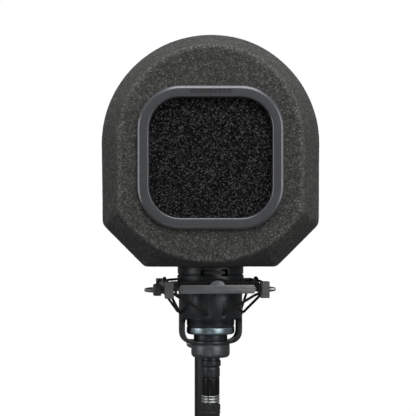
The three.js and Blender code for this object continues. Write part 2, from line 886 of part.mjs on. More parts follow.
let stem = ringTurned(
  [
    [THREAD_R, 0],
    [STEM_R - 0.8, 0],
    [STEM_R, 0.8],
    [STEM_R, STEM_TOP - 1],
    [STEM_R - 1, STEM_TOP],
    [2, STEM_TOP],
    [2, THREAD_DEPTH],
    [THREAD_R, THREAD_DEPTH],
  ],
  24,
);
const tongue = new THREE.Shape();
tongue.absarc(0, PIVOT_Z, 8.6, 0, Math.PI, false);
tongue.lineTo(-8.6, STEM_TOP - 4);
tongue.lineTo(8.6, STEM_TOP - 4);
tongue.closePath();
{
  // the stem stands on the mount's rear axis, in the turned group
  const g = geometryOf(
    stem
      .add(plateYZ(tongue, -TONGUE_HALF, TONGUE_HALF, 10))
      .subtract(
        rod(V(-30, 0, PIVOT_Z), V(30, 0, PIVOT_Z), 3.3, 3.3, 16),
      ),
  );
  g.translate(0, SETBACK, 0);
  part(mountGroup, "stand_stem", solid(g), BLACK);
}
part(
  mountGroup,
  "thread_adapter",
  (() => {
    const g = geometryOf(
      ringTurned(
        [
          [4.8, 0.4],
          [THREAD_R - 0.3, 0.4],
          [THREAD_R - 0.3, 14],
          [4.8, 14],
        ],
        24,
      ),
    );
    g.translate(0, SETBACK, 0);
    return solid(g);
  })(),
  BRASS,
);
part(
  mountGroup,
  "swivel_bolt",
  rod(V(-12.9, SETBACK, PIVOT_Z), V(13.4, SETBACK, PIVOT_Z), 3, 3, 16),
  STEEL,
);
// domed nut on the left of the bolt
{
  const nut = rod(
    V(-9.7, SETBACK, PIVOT_Z),
    V(-15.4, SETBACK, PIVOT_Z),
    5.2,
    5.2,
    6,
  )
    .add(
      rod(
        V(-15.2, SETBACK, PIVOT_Z),
        V(-18.6, SETBACK, PIVOT_Z),
        4.2,
        2.2,
        12,
      ),
    )
    .subtract(
      rod(V(-9, SETBACK, PIVOT_Z), V(-13.2, SETBACK, PIVOT_Z), 3.3, 3.3, 16),
    );
  part(mountGroup, "swivel_dome_nut", nut, STEEL);
}
// lobed clamp knob on the right
{
  let knob = rod(
    V(9.7, SETBACK, PIVOT_Z),
    V(12.6, SETBACK, PIVOT_Z),
    5.6,
    5.6,
    18,
  ).add(
    rod(
      V(12.2, SETBACK, PIVOT_Z),
      V(22.4, SETBACK, PIVOT_Z),
      8.6,
      8.2,
      24,
    ),
  );
  for (let i = 0; i < 8; i++) {
    const t = (i * Math.PI) / 4;
    knob = knob.subtract(
      rod(
        V(12, SETBACK + 9.6 * Math.cos(t), PIVOT_Z + 9.6 * Math.sin(t)),
        V(23, SETBACK + 9.6 * Math.cos(t), PIVOT_Z + 9.6 * Math.sin(t)),
        1.9,
        1.9,
        8,
      ),
    );
  }
  knob = knob.subtract(
    rod(V(9, SETBACK, PIVOT_Z), V(13.7, SETBACK, PIVOT_Z), 3.3, 3.3, 16),
  );
  part(mountGroup, "swivel_clamp_knob", knob, BLACK);
}

// ---------------------------------------------------------------- cable connector
part(
  mountGroup,
  "xlr_shell",
  ringTurned(
    [
      [8.4, 59.4],
      [9.4, 59.4],
      [9.4, 68.2],
      [9.0, 68.8],
      [9.0, 69.8],
      [10.3, 70.4],
      [10.3, 75.4],
      [9.7, 76.2],
      [9.3, 76.2],
      [9.3, 93.4],
      [8.4, 93.4],
    ],
    22,
  ).subtract(block(-3.3, 3.3, 4, 12, 71, 75)),
  SATIN,
);
let female = rod(V(0, 0, 70), V(0, 0, 93), 8.1, 8.1, 24);
for (const [x, y] of PINS)
  female = female.subtract(rod(V(x, y, 83.6), V(x, y, 95), 1.5, 1.5, 8));
female = female.subtract(block(-3.6, 3.6, 5.9, 10, 69, 75.2)); // room for the latch button's travel
part(mountGroup, "xlr_socket_insert", female, BLACK);
part(
  mountGroup,
  "xlr_latch_button",
  block(-3, 3, 8.4, 11.6, 71.4, 74.6),
  BLACK,
);
part(
  mountGroup,
  "xlr_barrel",
  ringTurned(
    [
      [6, 41.6],
      [9.1, 41.6],
      [9.1, 58.4],
      [8.8, 59.1],
      [6, 59.1],
    ],
    22,
  ),
  BLACK,
);
const chuck = [
  [6, 41.3],
  [8.6, 41.3],
];
for (let i = 0; i < 3; i++) {
  const z = 41 - i * 2.8;
  chuck.push([9.3, z - 0.6], [9.3, z - 1.9], [8.6, z - 2.5]);
}
chuck.push([8.6, 32.5], [6, 32.5]);
part(mountGroup, "xlr_chuck_rings", ringTurned(chuck, 28), STEEL);
part(
  mountGroup,
  "xlr_boot",
  ringTurned(
    [
      [3.3, 2],
      [4.6, 2],
      [5.2, 2.8],
      [6.2, 10],
      [8.6, 17.5],
      [9.4, 20],
      [9.4, 22.6],
      [9.7, 23],
      [9.7, 25.2],
      [9.2, 25.6],
      [9.9, 26.2],
      [9.9, 31.4],
      [9.2, 32.2],
      [5.6, 32.2],
      [5.6, 20],
      [3.3, 16],
    ],
    22,
  ),
  RUBBER,
);

export default root;
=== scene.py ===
import math

import bmesh
import bpy
import numpy as np
from mathutils import Matrix, Vector, noise


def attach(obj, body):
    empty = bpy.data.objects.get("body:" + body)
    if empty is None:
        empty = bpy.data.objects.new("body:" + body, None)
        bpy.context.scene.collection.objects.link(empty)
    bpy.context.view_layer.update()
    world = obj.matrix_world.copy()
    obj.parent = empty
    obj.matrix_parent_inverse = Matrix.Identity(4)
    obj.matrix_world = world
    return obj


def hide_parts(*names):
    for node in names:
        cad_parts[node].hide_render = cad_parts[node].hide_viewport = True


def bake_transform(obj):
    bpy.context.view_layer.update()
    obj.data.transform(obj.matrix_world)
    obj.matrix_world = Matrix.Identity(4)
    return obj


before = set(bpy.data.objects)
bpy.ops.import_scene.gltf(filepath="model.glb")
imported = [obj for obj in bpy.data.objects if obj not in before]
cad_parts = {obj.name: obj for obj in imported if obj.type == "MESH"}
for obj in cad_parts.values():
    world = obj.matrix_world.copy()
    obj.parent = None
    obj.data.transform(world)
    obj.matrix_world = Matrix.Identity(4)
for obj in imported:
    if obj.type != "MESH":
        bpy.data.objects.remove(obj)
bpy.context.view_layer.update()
SCENE = bpy.context.scene

# ------------------------------------------------------------------ frame (millimetres unless said)
YAW = math.radians(7.5)
C, S = math.cos(YAW), math.sin(YAW)
SETBACK = 50.0
MX, MY = SETBACK * S, -SETBACK * C


def turned(x, y, z):
    """A point of the shock mount, measured from the microphone's axis, in the row frame in metres."""
    return ((MX + x * C - y * S) / 1000, (MY + x * S + y * C) / 1000, z / 1000)


def square(x, y, z):
    """A point of the shield, measured from the microphone's axis, in the row frame in metres."""
    return ((MX + x) / 1000, (MY + y) / 1000, z / 1000)


def stem(x, y, z):
    """A point measured from the stem's axis, turned as the shock mount is."""
    return turned(x, y + SETBACK, z)


# ------------------------------------------------------------------ camera first
cam_data = bpy.data.cameras.new("camera")
cam_data.lens = 95.2
cam_data.sensor_width = 36
cam_data.clip_start = 0.05
cam_data.clip_end = 20
camera = bpy.data.objects.new("camera", cam_data)
camera.location = (MX / 1000 - 0.0025, MY / 1000 - 1.1, 0.195)
cam_data.shift_y = 32.8 / 416
camera.rotation_euler = (math.radians(90), 0, 0)
SCENE.collection.objects.link(camera)
SCENE.camera = camera


# ------------------------------------------------------------------ materials
class Mat:
    """A small node tree builder round one Principled shader."""

    def __init__(self, name, rough=0.5, metal=0.0, **sockets):
        self.m = bpy.data.materials.new(name)
        self.m.use_nodes = True
        self.nt = self.m.node_tree
        self.p = self.nt.nodes["Principled BSDF"]
        self.p.inputs["Roughness"].default_value = rough
        self.p.inputs["Metallic"].default_value = metal
        for k, v in sockets.items():
            self.p.inputs[k.replace("_", " ")].default_value = v
        tc = self.nt.nodes.new("ShaderNodeTexCoord")
        self.co = tc.outputs["Object"]

    def node(self, kind, **props):
        n = self.nt.nodes.new(kind)
        for k, v in props.items():
            setattr(n, k, v)
        return n

    def link(self, a, b):
        self.nt.links.new(a, b)

    def noise(self, scale, detail=3.0, rough=0.55, stretch=None, dist=0.0):
        n = self.node("ShaderNodeTexNoise")
        n.inputs["Scale"].default_value = scale
        n.inputs["Detail"].default_value = detail
        n.inputs["Roughness"].default_value = rough
        n.inputs["Distortion"].default_value = dist
        if stretch:
            mp = self.node("ShaderNodeMapping")
            mp.inputs["Scale"].default_value = stretch
            self.link(self.co, mp.inputs["Vector"])
            self.link(mp.outputs["Vector"], n.inputs["Vector"])
        else:
            self.link(self.co, n.inputs["Vector"])
        return n.outputs["Fac"]

    def voronoi(self, scale, feature="F1", rnd=1.0):
        n = self.node("ShaderNodeTexVoronoi", feature=feature)
        n.inputs["Scale"].default_value = scale
        n.inputs["Randomness"].default_value = rnd
        self.link(self.co, n.inputs["Vector"])
        return n.outputs["Distance"]

    def ramp(self, fac, stops, interp="LINEAR"):
        r = self.node("ShaderNodeValToRGB")
        r.color_ramp.interpolation = interp
        els = r.color_ramp.elements
        while len(els) < len(stops):
            els.new(0.5)
        for e, (pos, col) in zip(els, stops):
            e.position = pos
            e.color = (*col, 1) if len(col) == 3 else col
        self.link(fac, r.inputs["Fac"])
        return r.outputs["Color"]

    def mixc(self, a, b, fac, blend="MIX"):
        n = self.node("ShaderNodeMix", data_type="RGBA", blend_type=blend)
        for sock, v in ((n.inputs["A"], a), (n.inputs["B"], b)):
            pass
        ins = [s for s in n.inputs if s.type == "RGBA"]
        for s, v in zip(ins, (a, b)):
            if isinstance(v, tuple):
                s.default_value = (*v, 1)
            else:
                self.link(v, s)
        f = [s for s in n.inputs if s.type == "VALUE"][0]
        if isinstance(fac, float):
            f.default_value = fac
        else:
            self.link(fac, f)
        return [s for s in n.outputs if s.type == "RGBA"][0]

    def rng(self, fac, lo, hi, a=0.0, b=1.0):
        n = self.node("ShaderNodeMapRange")
        n.inputs["From Min"].default_value = a
        n.inputs["From Max"].default_value = b
        n.inputs["To Min"].default_value = lo
        n.inputs["To Max"].default_value = hi
        self.link(fac, n.inputs["Value"])
        return n.outputs["Result"]

    def math(self, op, a, b=None):
        n = self.node("ShaderNodeMath", operation=op)
        for i, v in enumerate((a, b)):
            if v is None:
                continue
            if isinstance(v, (int, float)):
                n.inputs[i].default_value = v
            else:
                self.link(v, n.inputs[i])
        return n.outputs[0]

    def color(self, c):
        if isinstance(c, tuple):
            self.p.inputs["Base Color"].default_value = (*c, 1)
        else:
            self.link(c, self.p.inputs["Base Color"])
        return self

    def rough(self, r):
        self.link(r, self.p.inputs["Roughness"])
        return self

    def bump(self, height, strength, dist=0.001):
        b = self.node("ShaderNodeBump")
        b.inputs["Strength"].default_value = strength
        b.inputs["Distance"].default_value = dist
        self.link(height, b.inputs["Height"])
        prev = self.p.inputs["Normal"]
        if prev.is_linked:
            self.link(prev.links[0].from_socket, b.inputs["Normal"])
        self.link(b.outputs["Normal"], prev)
        return self


def shade(c, k):
    return tuple(min(1.0, v * k) for v in c)


def simple(name, base, rough, metal=0.0, grain=900, bump=0.12, vary=0.18, spread=0.08, **k):
    """A moulded or coated surface: mottled colour, uneven gloss and a fine bump."""
    m = Mat(name, rough, metal, **k)
    big = m.noise(38, 3)
    m.color(m.ramp(big, [(0.3, shade(base, 1 - vary)), (0.7, shade(base, 1 + vary))]))
    m.rough(m.rng(m.noise(160, 4), rough - spread, rough + spread, 0.3, 0.7))
    if bump:
        m.bump(m.noise(grain, 4, 0.6), bump, 0.0004)
    return m.m


def cell_values(m, scale):
    """A random value for each cell of an open foam, and the distance to the cell's centre."""
    n = m.node("ShaderNodeTexVoronoi", feature="F1")
    n.inputs["Scale"].default_value = scale
    m.link(m.co, n.inputs["Vector"])
    sep = m.node("ShaderNodeSeparateColor")
    m.link(n.outputs["Color"], sep.inputs[0])
    return sep.outputs[0], n.outputs["Distance"]


def foam_material():
    m = Mat("foam_charcoal", 0.95)
    m.p.inputs["Specular IOR Level"].default_value = 0.12
    m.p.inputs["Sheen Weight"].default_value = 0.06
    m.p.inputs["Sheen Roughness"].default_value = 0.6
    m.p.inputs["Sheen Tint"].default_value = (0.8, 0.79, 0.77, 1)
    cloudy = m.noise(26, 4, 0.6)
    v1, d1 = cell_values(m, 1050)
    v2, d2 = cell_values(m, 640)
    both = m.math("ADD", m.math("MULTIPLY", v1, 0.72), m.math("MULTIPLY", v2, 0.28))
    base = m.ramp(cloudy, [(0.3, (0.052, 0.0515, 0.0495)), (0.7, (0.062, 0.0612, 0.0590))])
    g = m.ramp(both, [(0.10, (0.45, 0.45, 0.45)), (0.40, (0.78, 0.78, 0.78)), (0.60, (1.04, 1.04, 1.03)), (0.76, (1.45, 1.44, 1.42)), (0.92, (2.7, 2.66, 2.58))])
    # painted highlight: along sharp outward ridges the foam's colour is lifted by up to half, standing in for light
    # caught on its edges
    edge = m.node("ShaderNodeAttribute", attribute_name="ridge")
    painted_ridge_highlight = m.math("ADD", m.math("MULTIPLY", edge.outputs["Fac"], 0.5), 1.0)
    m.color(m.mixc(m.mixc(base, g, 1.0, "MULTIPLY"), painted_ridge_highlight, 1.0, "MULTIPLY"))
    m.bump(d1, 0.25, 0.0006)
    m.bump(d2, 0.18, 0.0008)
    return m.m


def screen_material():
    m = Mat("screen_black_foam", 0.85)
    m.p.inputs["Specular IOR Level"].default_value = 0.08
    v, d = cell_values(m, 900)
    fine = m.noise(1050, 2, 0.6)
    mix = m.math("ADD", m.math("MULTIPLY", v, 0.45), m.math("MULTIPLY", fine, 0.55))
    m.color(m.ramp(mix, [(0.32, (0.0008, 0.0008, 0.0009)), (0.48, (0.0045, 0.0047, 0.0046)), (0.62, (0.021, 0.0216, 0.0213)), (0.78, (0.10, 0.102, 0.099))]))
    m.bump(d, 0.5, 0.0009)
    return m.m


def braid_material(name, base=(0.02, 0.02, 0.021)):
    m = Mat(name, 0.75)
    m.p.inputs["Sheen Weight"].default_value = 0.06
    m.p.inputs["Specular IOR Level"].default_value = 0.3
    w = m.node("ShaderNodeTexWave", wave_type="BANDS", bands_direction="DIAGONAL")
    w.inputs["Scale"].default_value = 420
    w.inputs["Distortion"].default_value = 1.2
    m.link(m.co, w.inputs["Vector"])
    w2 = m.node("ShaderNodeTexWave", wave_type="BANDS", bands_direction="X")
    w2.inputs["Scale"].default_value = 380
    w2.inputs["Distortion"].default_value = 1.0
    m.link(m.co, w2.inputs["Vector"])
    both = m.math("MULTIPLY", w.outputs["Fac"], w2.outputs["Fac"])
    m.color(m.ramp(both, [(0.0, shade(base, 0.5)), (0.6, shade(base, 1.8))]))
    m.bump(both, 0.6, 0.0006)
    return m.m


def metal_material(name, base, rough, brushed=(1, 1, 40), bump=0.08, vary=0.06):
    m = Mat(name, rough, 1.0)
    m.color(m.ramp(m.noise(60, 3), [(0.3, shade(base, 1 - vary)), (0.7, shade(base, 1 + vary))]))
    lines = m.noise(60, 4, 0.6, stretch=brushed)
    m.rough(m.rng(lines, rough * 0.75, rough * 1.35, 0.3, 0.7))
    m.bump(lines, bump, 0.0002)
    return m.m


def felt_material():
    m = Mat("felt_black", 1.0)
    m.p.inputs["Sheen Weight"].default_value = 0.5
    f = m.noise(1400, 5, 0.7, dist=0.6)
    m.color(m.ramp(f, [(0.3, (0.004, 0.004, 0.004)), (0.7, (0.03, 0.03, 0.031))]))
    m.bump(f, 0.8, 0.0006)
    return m.m


def board_material():
    m = Mat("circuit_board_green", 0.4)
    br = m.node("ShaderNodeTexBrick")
    br.inputs["Scale"].default_value = 160
    br.inputs["Color1"].default_value = (0.012, 0.075, 0.035, 1)
    br.inputs["Color2"].default_value = (0.016, 0.10, 0.05, 1)
    br.inputs["Mortar"].default_value = (0.3, 0.22, 0.08, 1)
    br.inputs["Mortar Size"].default_value = 0.03
    m.link(m.co, br.inputs["Vector"])
    m.color(br.outputs["Color"])
    m.bump(br.outputs["Fac"], 0.3, 0.0002)
    return m.m


M = {
    "foam": foam_material(),
    "screen": screen_material(),
    "bezel": simple("bezel_satin_plastic", (0.130, 0.133, 0.140), 0.23, 0.6, grain=2600, bump=0.04, vary=0.05, spread=0.04),
    "engraved": simple("engraved_mark", (0.018, 0.018, 0.019), 0.6, grain=1500),
    "black": simple("black_plastic", (0.020, 0.021, 0.023), 0.40, grain=1600),
    "block": simple("block_plastic", (0.120, 0.123, 0.123), 0.50, grain=1100, bump=0.6, vary=0.2),
    "satin": simple("satin_black_coat", (0.034, 0.038, 0.040), 0.33, 0.35, grain=2400, bump=0.08),
    "bar": simple("ring_bar_coat", (0.215, 0.219, 0.225), 0.38, 0.3, grain=2000, bump=0.10),
    "collar": simple("collar_coat", (0.125, 0.134, 0.140), 0.34, 0.65, grain=2200, bump=0.08),
    "stem": simple("stem_coat", (0.032, 0.032, 0.033), 0.40, 0.3, grain=2000, bump=0.08),
    "gloss": simple("gloss_black", (0.008, 0.008, 0.009), 0.20, grain=900, bump=0.02, spread=0.04, Specular_IOR_Level=0.28),
    "rubber": simple("boot_rubber", (0.016, 0.016, 0.016), 0.52, grain=1800, bump=0.25),
    "nickel": metal_material("nickel", (0.46, 0.465, 0.45), 0.36),
    "chrome": metal_material("chrome_rings", (0.42, 0.435, 0.44), 0.24),
    "trim": metal_material("blued_trim", (0.34, 0.43, 0.465), 0.28, brushed=(1, 1, 60)),
    "brass": metal_material("brass", (0.62, 0.47, 0.22), 0.26),
    "gold": metal_material("gold_film", (0.75, 0.56, 0.26), 0.18, bump=0.02),
    "grille": metal_material("grille_wire", (0.17, 0.175, 0.18), 0.34),
    "cord": braid_material("elastic_braid"),
    "felt": felt_material(),
    "board": board_material(),
}

# ------------------------------------------------------------------ mesh helpers


def link_mesh(name, verts, faces, xf=None):
    me = bpy.data.meshes.new(name)
    me.from_pydata([xf(*v) if xf else tuple(v) for v in verts], [], faces)
    me.update()
    o = bpy.data.objects.new(name, me)
    SCENE.collection.objects.link(o)
    tidy(o)
    return o


def tidy(o, dist=1e-7):
    bm = bmesh.new()
    bm.from_mesh(o.data)
    bmesh.ops.remove_doubles(bm, verts=bm.verts, dist=dist)
    bmesh.ops.dissolve_degenerate(bm, edges=bm.edges, dist=dist)
    bmesh.ops.recalc_face_normals(bm, faces=bm.faces)
    bm.to_mesh(o.data)
    bm.free()
    o.data.update()


def finish_piece(o, mat, body=None, replaces=(), angle=32, parent=None):
    o.data.materials.clear()
    o.data.materials.append(M[mat])
    o.data.shade_smooth()
    o.data.set_sharp_from_angle(angle=math.radians(angle))
    if parent is not None:
        o.parent = parent
    elif body:
        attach(o, body)
    if replaces:
        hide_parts(*replaces)
    return o


def apply_mods(o):
    dg = bpy.context.evaluated_depsgraph_get()
    me = bpy.data.meshes.new_from_object(o.evaluated_get(dg))
    o.modifiers.clear()
    old = o.data
    o.data = me
    me.name = o.name
    if old.users == 0:
        bpy.data.meshes.remove(old)


def boolean(o, others, op="DIFFERENCE", keep=False):
    for c in others:
        mod = o.modifiers.new("cut", "BOOLEAN")
        mod.object = c
        mod.operation = op
        mod.solver = "EXACT"
    apply_mods(o)
    if not keep:
        for c in others:
            bpy.data.objects.remove(c)
    tidy(o)


def bevel(o, width_mm, segments=2, angle=35):
    mod = o.modifiers.new("bevel", "BEVEL")
    mod.width = width_mm / 1000
    mod.segments = segments
    mod.limit_method = "ANGLE"
    mod.angle_limit = math.radians(angle)
    mod.use_clamp_overlap = True
    mod.miter_outer = "MITER_ARC"
    apply_mods(o)
    tidy(o)


def rounded(profile, default=0.4, steps=4):
    """A closed outline of (a, b[, radius]) with each corner rounded."""
    pts = [(p[0], p[1], p[2] if len(p) > 2 else default) for p in profile]
    out = []
    n = len(pts)
    for i in range(n):
        px, py, rad = pts[i]
        ax, ay, _ = pts[i - 1]
        bx, by, _ = pts[(i + 1) % n]
        la, lb = math.hypot(ax - px, ay - py), math.hypot(bx - px, by - py)
        t = min(rad, la * 0.48, lb * 0.48)
        if t < 1e-4 or px < 1e-6:
            out.append((px, py))
            continue
        p0 = (px + (ax - px) * t / la, py + (ay - py) * t / la)
        p1 = (px + (bx - px) * t / lb, py + (by - py) * t / lb)
        for k in range(steps + 1):
            s = k / steps
            out.append(
                (
                    (1 - s) ** 2 * p0[0] + 2 * s * (1 - s) * px + s * s * p1[0],
                    (1 - s) ** 2 * p0[1] + 2 * s * (1 - s) * py + s * s * p1[1],
                )
            )
    return out


def revolve(profile, segs=96, wobble=None):
    """(verts, faces) of a closed (radius, height) outline turned round Z. wobble(angle, r, z) gives a new radius."""
    n = len(profile)
    verts, faces = [], []
    for j in range(segs):
        a = 2 * math.pi * j / segs
        for r, z in profile:
            rr = wobble(a, r, z) if wobble else r
            verts.append((rr * math.cos(a), rr * math.sin(a), z))
    for j in range(segs):
        k = (j + 1) % segs
        for i in range(n):
            m = (i + 1) % n
            faces.append((j * n + i, k * n + i, k * n + m, j * n + m))
    return verts, faces


def lathe(name, profile, mat, body, replaces=(), segs=96, xf=turned, fillet=0.4, wobble=None, angle=32, done=True, steps=4):
    verts, faces = revolve(rounded(profile, fillet, steps), segs, wobble)
    o = link_mesh(name, verts, faces, xf)
    return finish_piece(o, mat, body, replaces, angle) if done else o


def lathe_x(name, profile, mat, body, replaces=(), at=(0, 0, 0), segs=48, fillet=0.3, wobble=None, done=True, angle=32):
    """Profile of (radius, x), turned round the mount's own X axis through (y, z) = at[1:]."""
    verts, faces = revolve(rounded(profile, fillet), segs, wobble)
    v2 = [(z + at[0], at[1] + x, at[2] + y) for x, y, z in verts]
    o = link_mesh(name, v2, faces, turned)
    return finish_piece(o, mat, body, replaces, angle) if done else o


def prism(outline, lo, hi, plane="xz"):
    """(verts, faces) of a flat outline pushed through from lo to hi along the third direction."""
    n = len(outline)

    def at(a, b, d):
        return (a, d, b) if plane == "xz" else (d, a, b) if plane == "yz" else (a, b, d)

    verts = [at(a, b, lo) for a, b in outline] + [at(a, b, hi) for a, b in outline]
    faces = [tuple(range(n)), tuple(range(2 * n - 1, n - 1, -1))]
    faces += [(i, (i + 1) % n, n + (i + 1) % n, n + i) for i in range(n)]
    return verts, faces


def prism_obj(name, outline, lo, hi, plane="xz", xf=turned):
    return link_mesh(name, *prism(outline, lo, hi, plane), xf)


def box_outline(x0, x1, y0, y1, r=0.0, steps=4):
    pts = [(x0, y0), (x1, y0), (x1, y1), (x0, y1)]
    if not r:
        return pts
    out = []
    for (cx, cy), a0 in zip(((x1 - r, y0 + r), (x1 - r, y1 - r), (x0 + r, y1 - r), (x0 + r, y0 + r)), (-90, 0, 90, 180)):
        for k in range(steps + 1):
            a = math.radians(a0 + 90 * k / steps)
            out.append((cx + r * math.cos(a), cy + r * math.sin(a)))
    return out


def rod_obj(name, a, b, r, segs=32, xf=turned):
    a, b = Vector(a), Vector(b)
    d = (b - a).normalized()
    u = d.orthogonal().normalized()
    v = d.cross(u)
    verts = []
    for p in (a, b):
        for j in range(segs):
            t = 2 * math.pi * j / segs
            verts.append(p + r * (math.cos(t) * u + math.sin(t) * v))
    faces = [tuple(range(segs)), tuple(range(2 * segs - 1, segs - 1, -1))]
    faces += [(j, (j + 1) % segs, segs + (j + 1) % segs, segs + j) for j in range(segs)]
    return link_mesh(name, verts, faces, xf)


def joined(objs, name):
    bm = bmesh.new()
    for o in objs:
        bm.from_mesh(o.data)
    me = bpy.data.meshes.new(name)
    bm.to_mesh(me)
    bm.free()
    for o in objs:
        bpy.data.objects.remove(o)
    o = bpy.data.objects.new(name, me)
    SCENE.collection.objects.link(o)
    return o


def loop_skin(loops, closed):
    n = len(loops[0])
    verts = [p for l in loops for p in l]
    faces = []
    rows = len(loops) if closed else len(loops) - 1
    for i in range(rows):
        for j in range(n):
            k = (j + 1) % n
            i2 = (i + 1) % len(loops)
            faces.append((i * n + j, i * n + k, i2 * n + k, i2 * n + j))
    if not closed:
        faces.append(tuple(range(n)))
        faces.append(tuple((len(loops) - 1) * n + j for j in range(n - 1, -1, -1)))
    return verts, faces


# ------------------------------------------------------------------ foam shield
FOAM_HALF_W, FOAM_SPRING = 103.2, 287.2
CORNER, FOOT = (102.7, 210.6), (62.6, 170.2)
FACE_HALF, FACE_TOP, FACE_BOTTOM, FACE_R = 85.2, 374.2, 174.9, 100.3
CZ = 275.0
POP_Z = 270.5


def arc(cx, cy, r, a0, a1, n):
    return [(cx + r * math.cos(a0 + (a1 - a0) * i / n), cy + r * math.sin(a0 + (a1 - a0) * i / n)) for i in range(n + 1)]


body_line = rounded(
    [(FOOT[0], FOOT[1], 2), (CORNER[0], CORNER[1], 3.5)]
    + [(x, z, 0) for x, z in arc(0, FOAM_SPRING, FOAM_HALF_W, 0, math.pi, 120)]
    + [(-CORNER[0], CORNER[1], 3.5), (-FOOT[0], FOOT[1], 2)],
    0,
    6,
)
# the helper leaves corners on the left alone, so mirror the right half instead
right = [p for p in body_line if p[0] > 1e-6]
body_line = right + [(-x, z) for x, z in reversed(right)]

_a = math.asin(FACE_HALF / FACE_R)
face_line = arc(0, FACE_TOP - FACE_HALF, FACE_HALF, 0, math.pi, 120) + arc(
    0, FACE_BOTTOM + FACE_R, FACE_R, -math.pi / 2 - _a, -math.pi / 2 + _a, 120
)

NA = 300
ANG = np.linspace(0, 2 * math.pi, NA, endpoint=False)


def reach(line):
    """Distance from (0, CZ) to a closed outline, at each angle."""
    P = np.array(line)
    Q = np.roll(P, -1, 0)
    E = Q - P
    P = P - np.array([0, CZ])
    out = np.zeros(NA)
    for i, t in enumerate(ANG):
        d = np.array([math.cos(t), math.sin(t)])
        det = d[0] * -E[:, 1] + E[:, 0] * d[1]
        ok = np.abs(det) > 1e-9
        det = np.where(ok, det, 1)
        r = (P[:, 0] * -E[:, 1] + E[:, 0] * P[:, 1]) / det
        u = (d[0] * P[:, 1] - d[1] * P[:, 0]) / det
        hit = ok & (u >= -1e-6) & (u <= 1 + 1e-6) & (r > 0)
        out[i] = r[hit].max()
    return out


body_r, face_r = reach(body_line), reach(face_line)
k = np.ones(5) / 5


def ring(r, y):
    return [(r[i] * math.cos(t), y, CZ + r[i] * math.sin(t)) for i, t in enumerate(ANG)]


stations = []
for inset, y in ((2.2, -99.8), (0.8, -99.2), (0.0, -97.8)):
    stations.append(ring(face_r - inset, y))
for s in (0.1, 0.25, 0.4, 0.55, 0.7, 0.85, 0.95):
    y = -97.8 + 37.8 * s - 1.6 * math.sin(math.pi * s)
    stations.append(ring(face_r + (body_r - face_r) * s, y))
stations.append(ring(body_r - 0.2, -58.6))
stations.append(ring(body_r, -55.0))
stations.append(ring(body_r, 0.0))
stations.append(ring(body_r, 46.0))
stations.append(ring(body_r - 0.3, 50.0))
for s in (0.15, 0.3, 0.45, 0.6, 0.75, 0.9):
    y = 50 + 36.0 * s + 3.0 * math.sin(math.pi * s)
    stations.append(ring(body_r + (face_r - 2 - body_r) * s, y))
for inset, y in ((2.6, 87.6), (4.2, 89.2), (7.0, 90.0)):
    stations.append(ring(face_r - inset, y))
foam = link_mesh("foam_block", *loop_skin(stations, False), square)


def rect_loop(w, h, r, inset, y, per=10, cz=POP_Z):
    out = []
    R = max(r - inset, 0.5)
    hw, hh = w / 2 - inset, h / 2 - inset
    for q in range(4):
        cx = (1 if q in (0, 3) else -1) * (hw - R)
        c2 = (1 if q < 2 else -1) * (hh - R)
        for i in range(per + 1):
            a = (q + i / per) * math.pi / 2
            out.append((cx + R * math.cos(a), y, cz + c2 + R * math.sin(a)))
    return out


chamber = link_mesh(
    "cut_chamber",
    *loop_skin([rect_loop(122, 120, 33, 0, y, 12) for y in (-110, 38)], False),
    square,
)
hole = rod_obj("cut_hole", (0, 0, 150), (0, 0, 240), 25.5, 64, square)
boolean(foam, [chamber, hole])
mod = foam.modifiers.new("remesh", "REMESH")
mod.mode = "VOXEL"
mod.voxel_size = 0.0019
apply_mods(foam)
mod = foam.modifiers.new("smooth", "SMOOTH")
mod.factor = 0.5
mod.iterations = 2
apply_mods(foam)


def displace(o, func):
    n = len(o.data.vertices)
    co = np.zeros(n * 3, np.float32)
    no = np.zeros(n * 3, np.float32)
    o.data.vertices.foreach_get("co", co)
    o.data.vertices.foreach_get("normal", no)
    co, no = co.reshape(-1, 3), no.reshape(-1, 3)
    d = np.array([func(Vector(c), Vector(m)) for c, m in zip(co, no)], np.float32)
    co = co + no * d[:, None]
    o.data.vertices.foreach_set("co", co.ravel())
    o.data.update()


def foam_relief(p, n):
    fine = noise.noise(p * 430) * 0.00013
    mid = noise.noise(p * 170) * 0.00005
    slow = noise.noise(p * 16 + Vector((3, 1, 7))) * 0.0005
    return fine + mid + slow


def store_ridge_highlight_mask(o):
    """Marks the points where the surface turns outward sharply; the foam material paints a highlight there, a pale line
    of caught light along the foam's edges.
    """
    me = o.data
    n = len(me.vertices)
    co = np.zeros(n * 3, np.float32)
    no = np.zeros(n * 3, np.float32)
    me.vertices.foreach_get("co", co)
    me.vertices.foreach_get("normal", no)
    co, no = co.reshape(-1, 3), no.reshape(-1, 3)
    e = np.zeros(len(me.edges) * 2, np.int32)
    me.edges.foreach_get("vertices", e)
    e = e.reshape(-1, 2)
    dp, dn = co[e[:, 0]] - co[e[:, 1]], no[e[:, 0]] - no[e[:, 1]]
    k = (dp * dn).sum(1) / np.maximum((dp * dp).sum(1), 1e-12)
    count = np.maximum(np.bincount(e.ravel(), minlength=n), 1)
    k = np.bincount(e.ravel(), np.repeat(k, 2), n) / count
    k = 0.5 * k + 0.5 * np.bincount(e.ravel(), k[e[:, ::-1].ravel()], n) / count
    ridge = np.clip((k - 22.0) / 45.0, 0.0, 1.0).astype(np.float32)
    me.attributes.new("ridge", "FLOAT", "POINT").data.foreach_set("value", ridge)
    print("ridge points", int((ridge > 0.3).sum()), "of", n, "faces", len(me.polygons))


store_ridge_highlight_mask(foam)
displace(foam, foam_relief)
finish_piece(foam, "foam", "shield", ["foam_shield"], 180)

# ------------------------------------------------------------------ pop filter
BW, BH, BR, BB = 133.6, 131.0, 39.5, 11.0
BF, BK = -104.6, -100.3


def bz(inset, y):
    return rect_loop(BW, BH, BR, inset, y, 14)


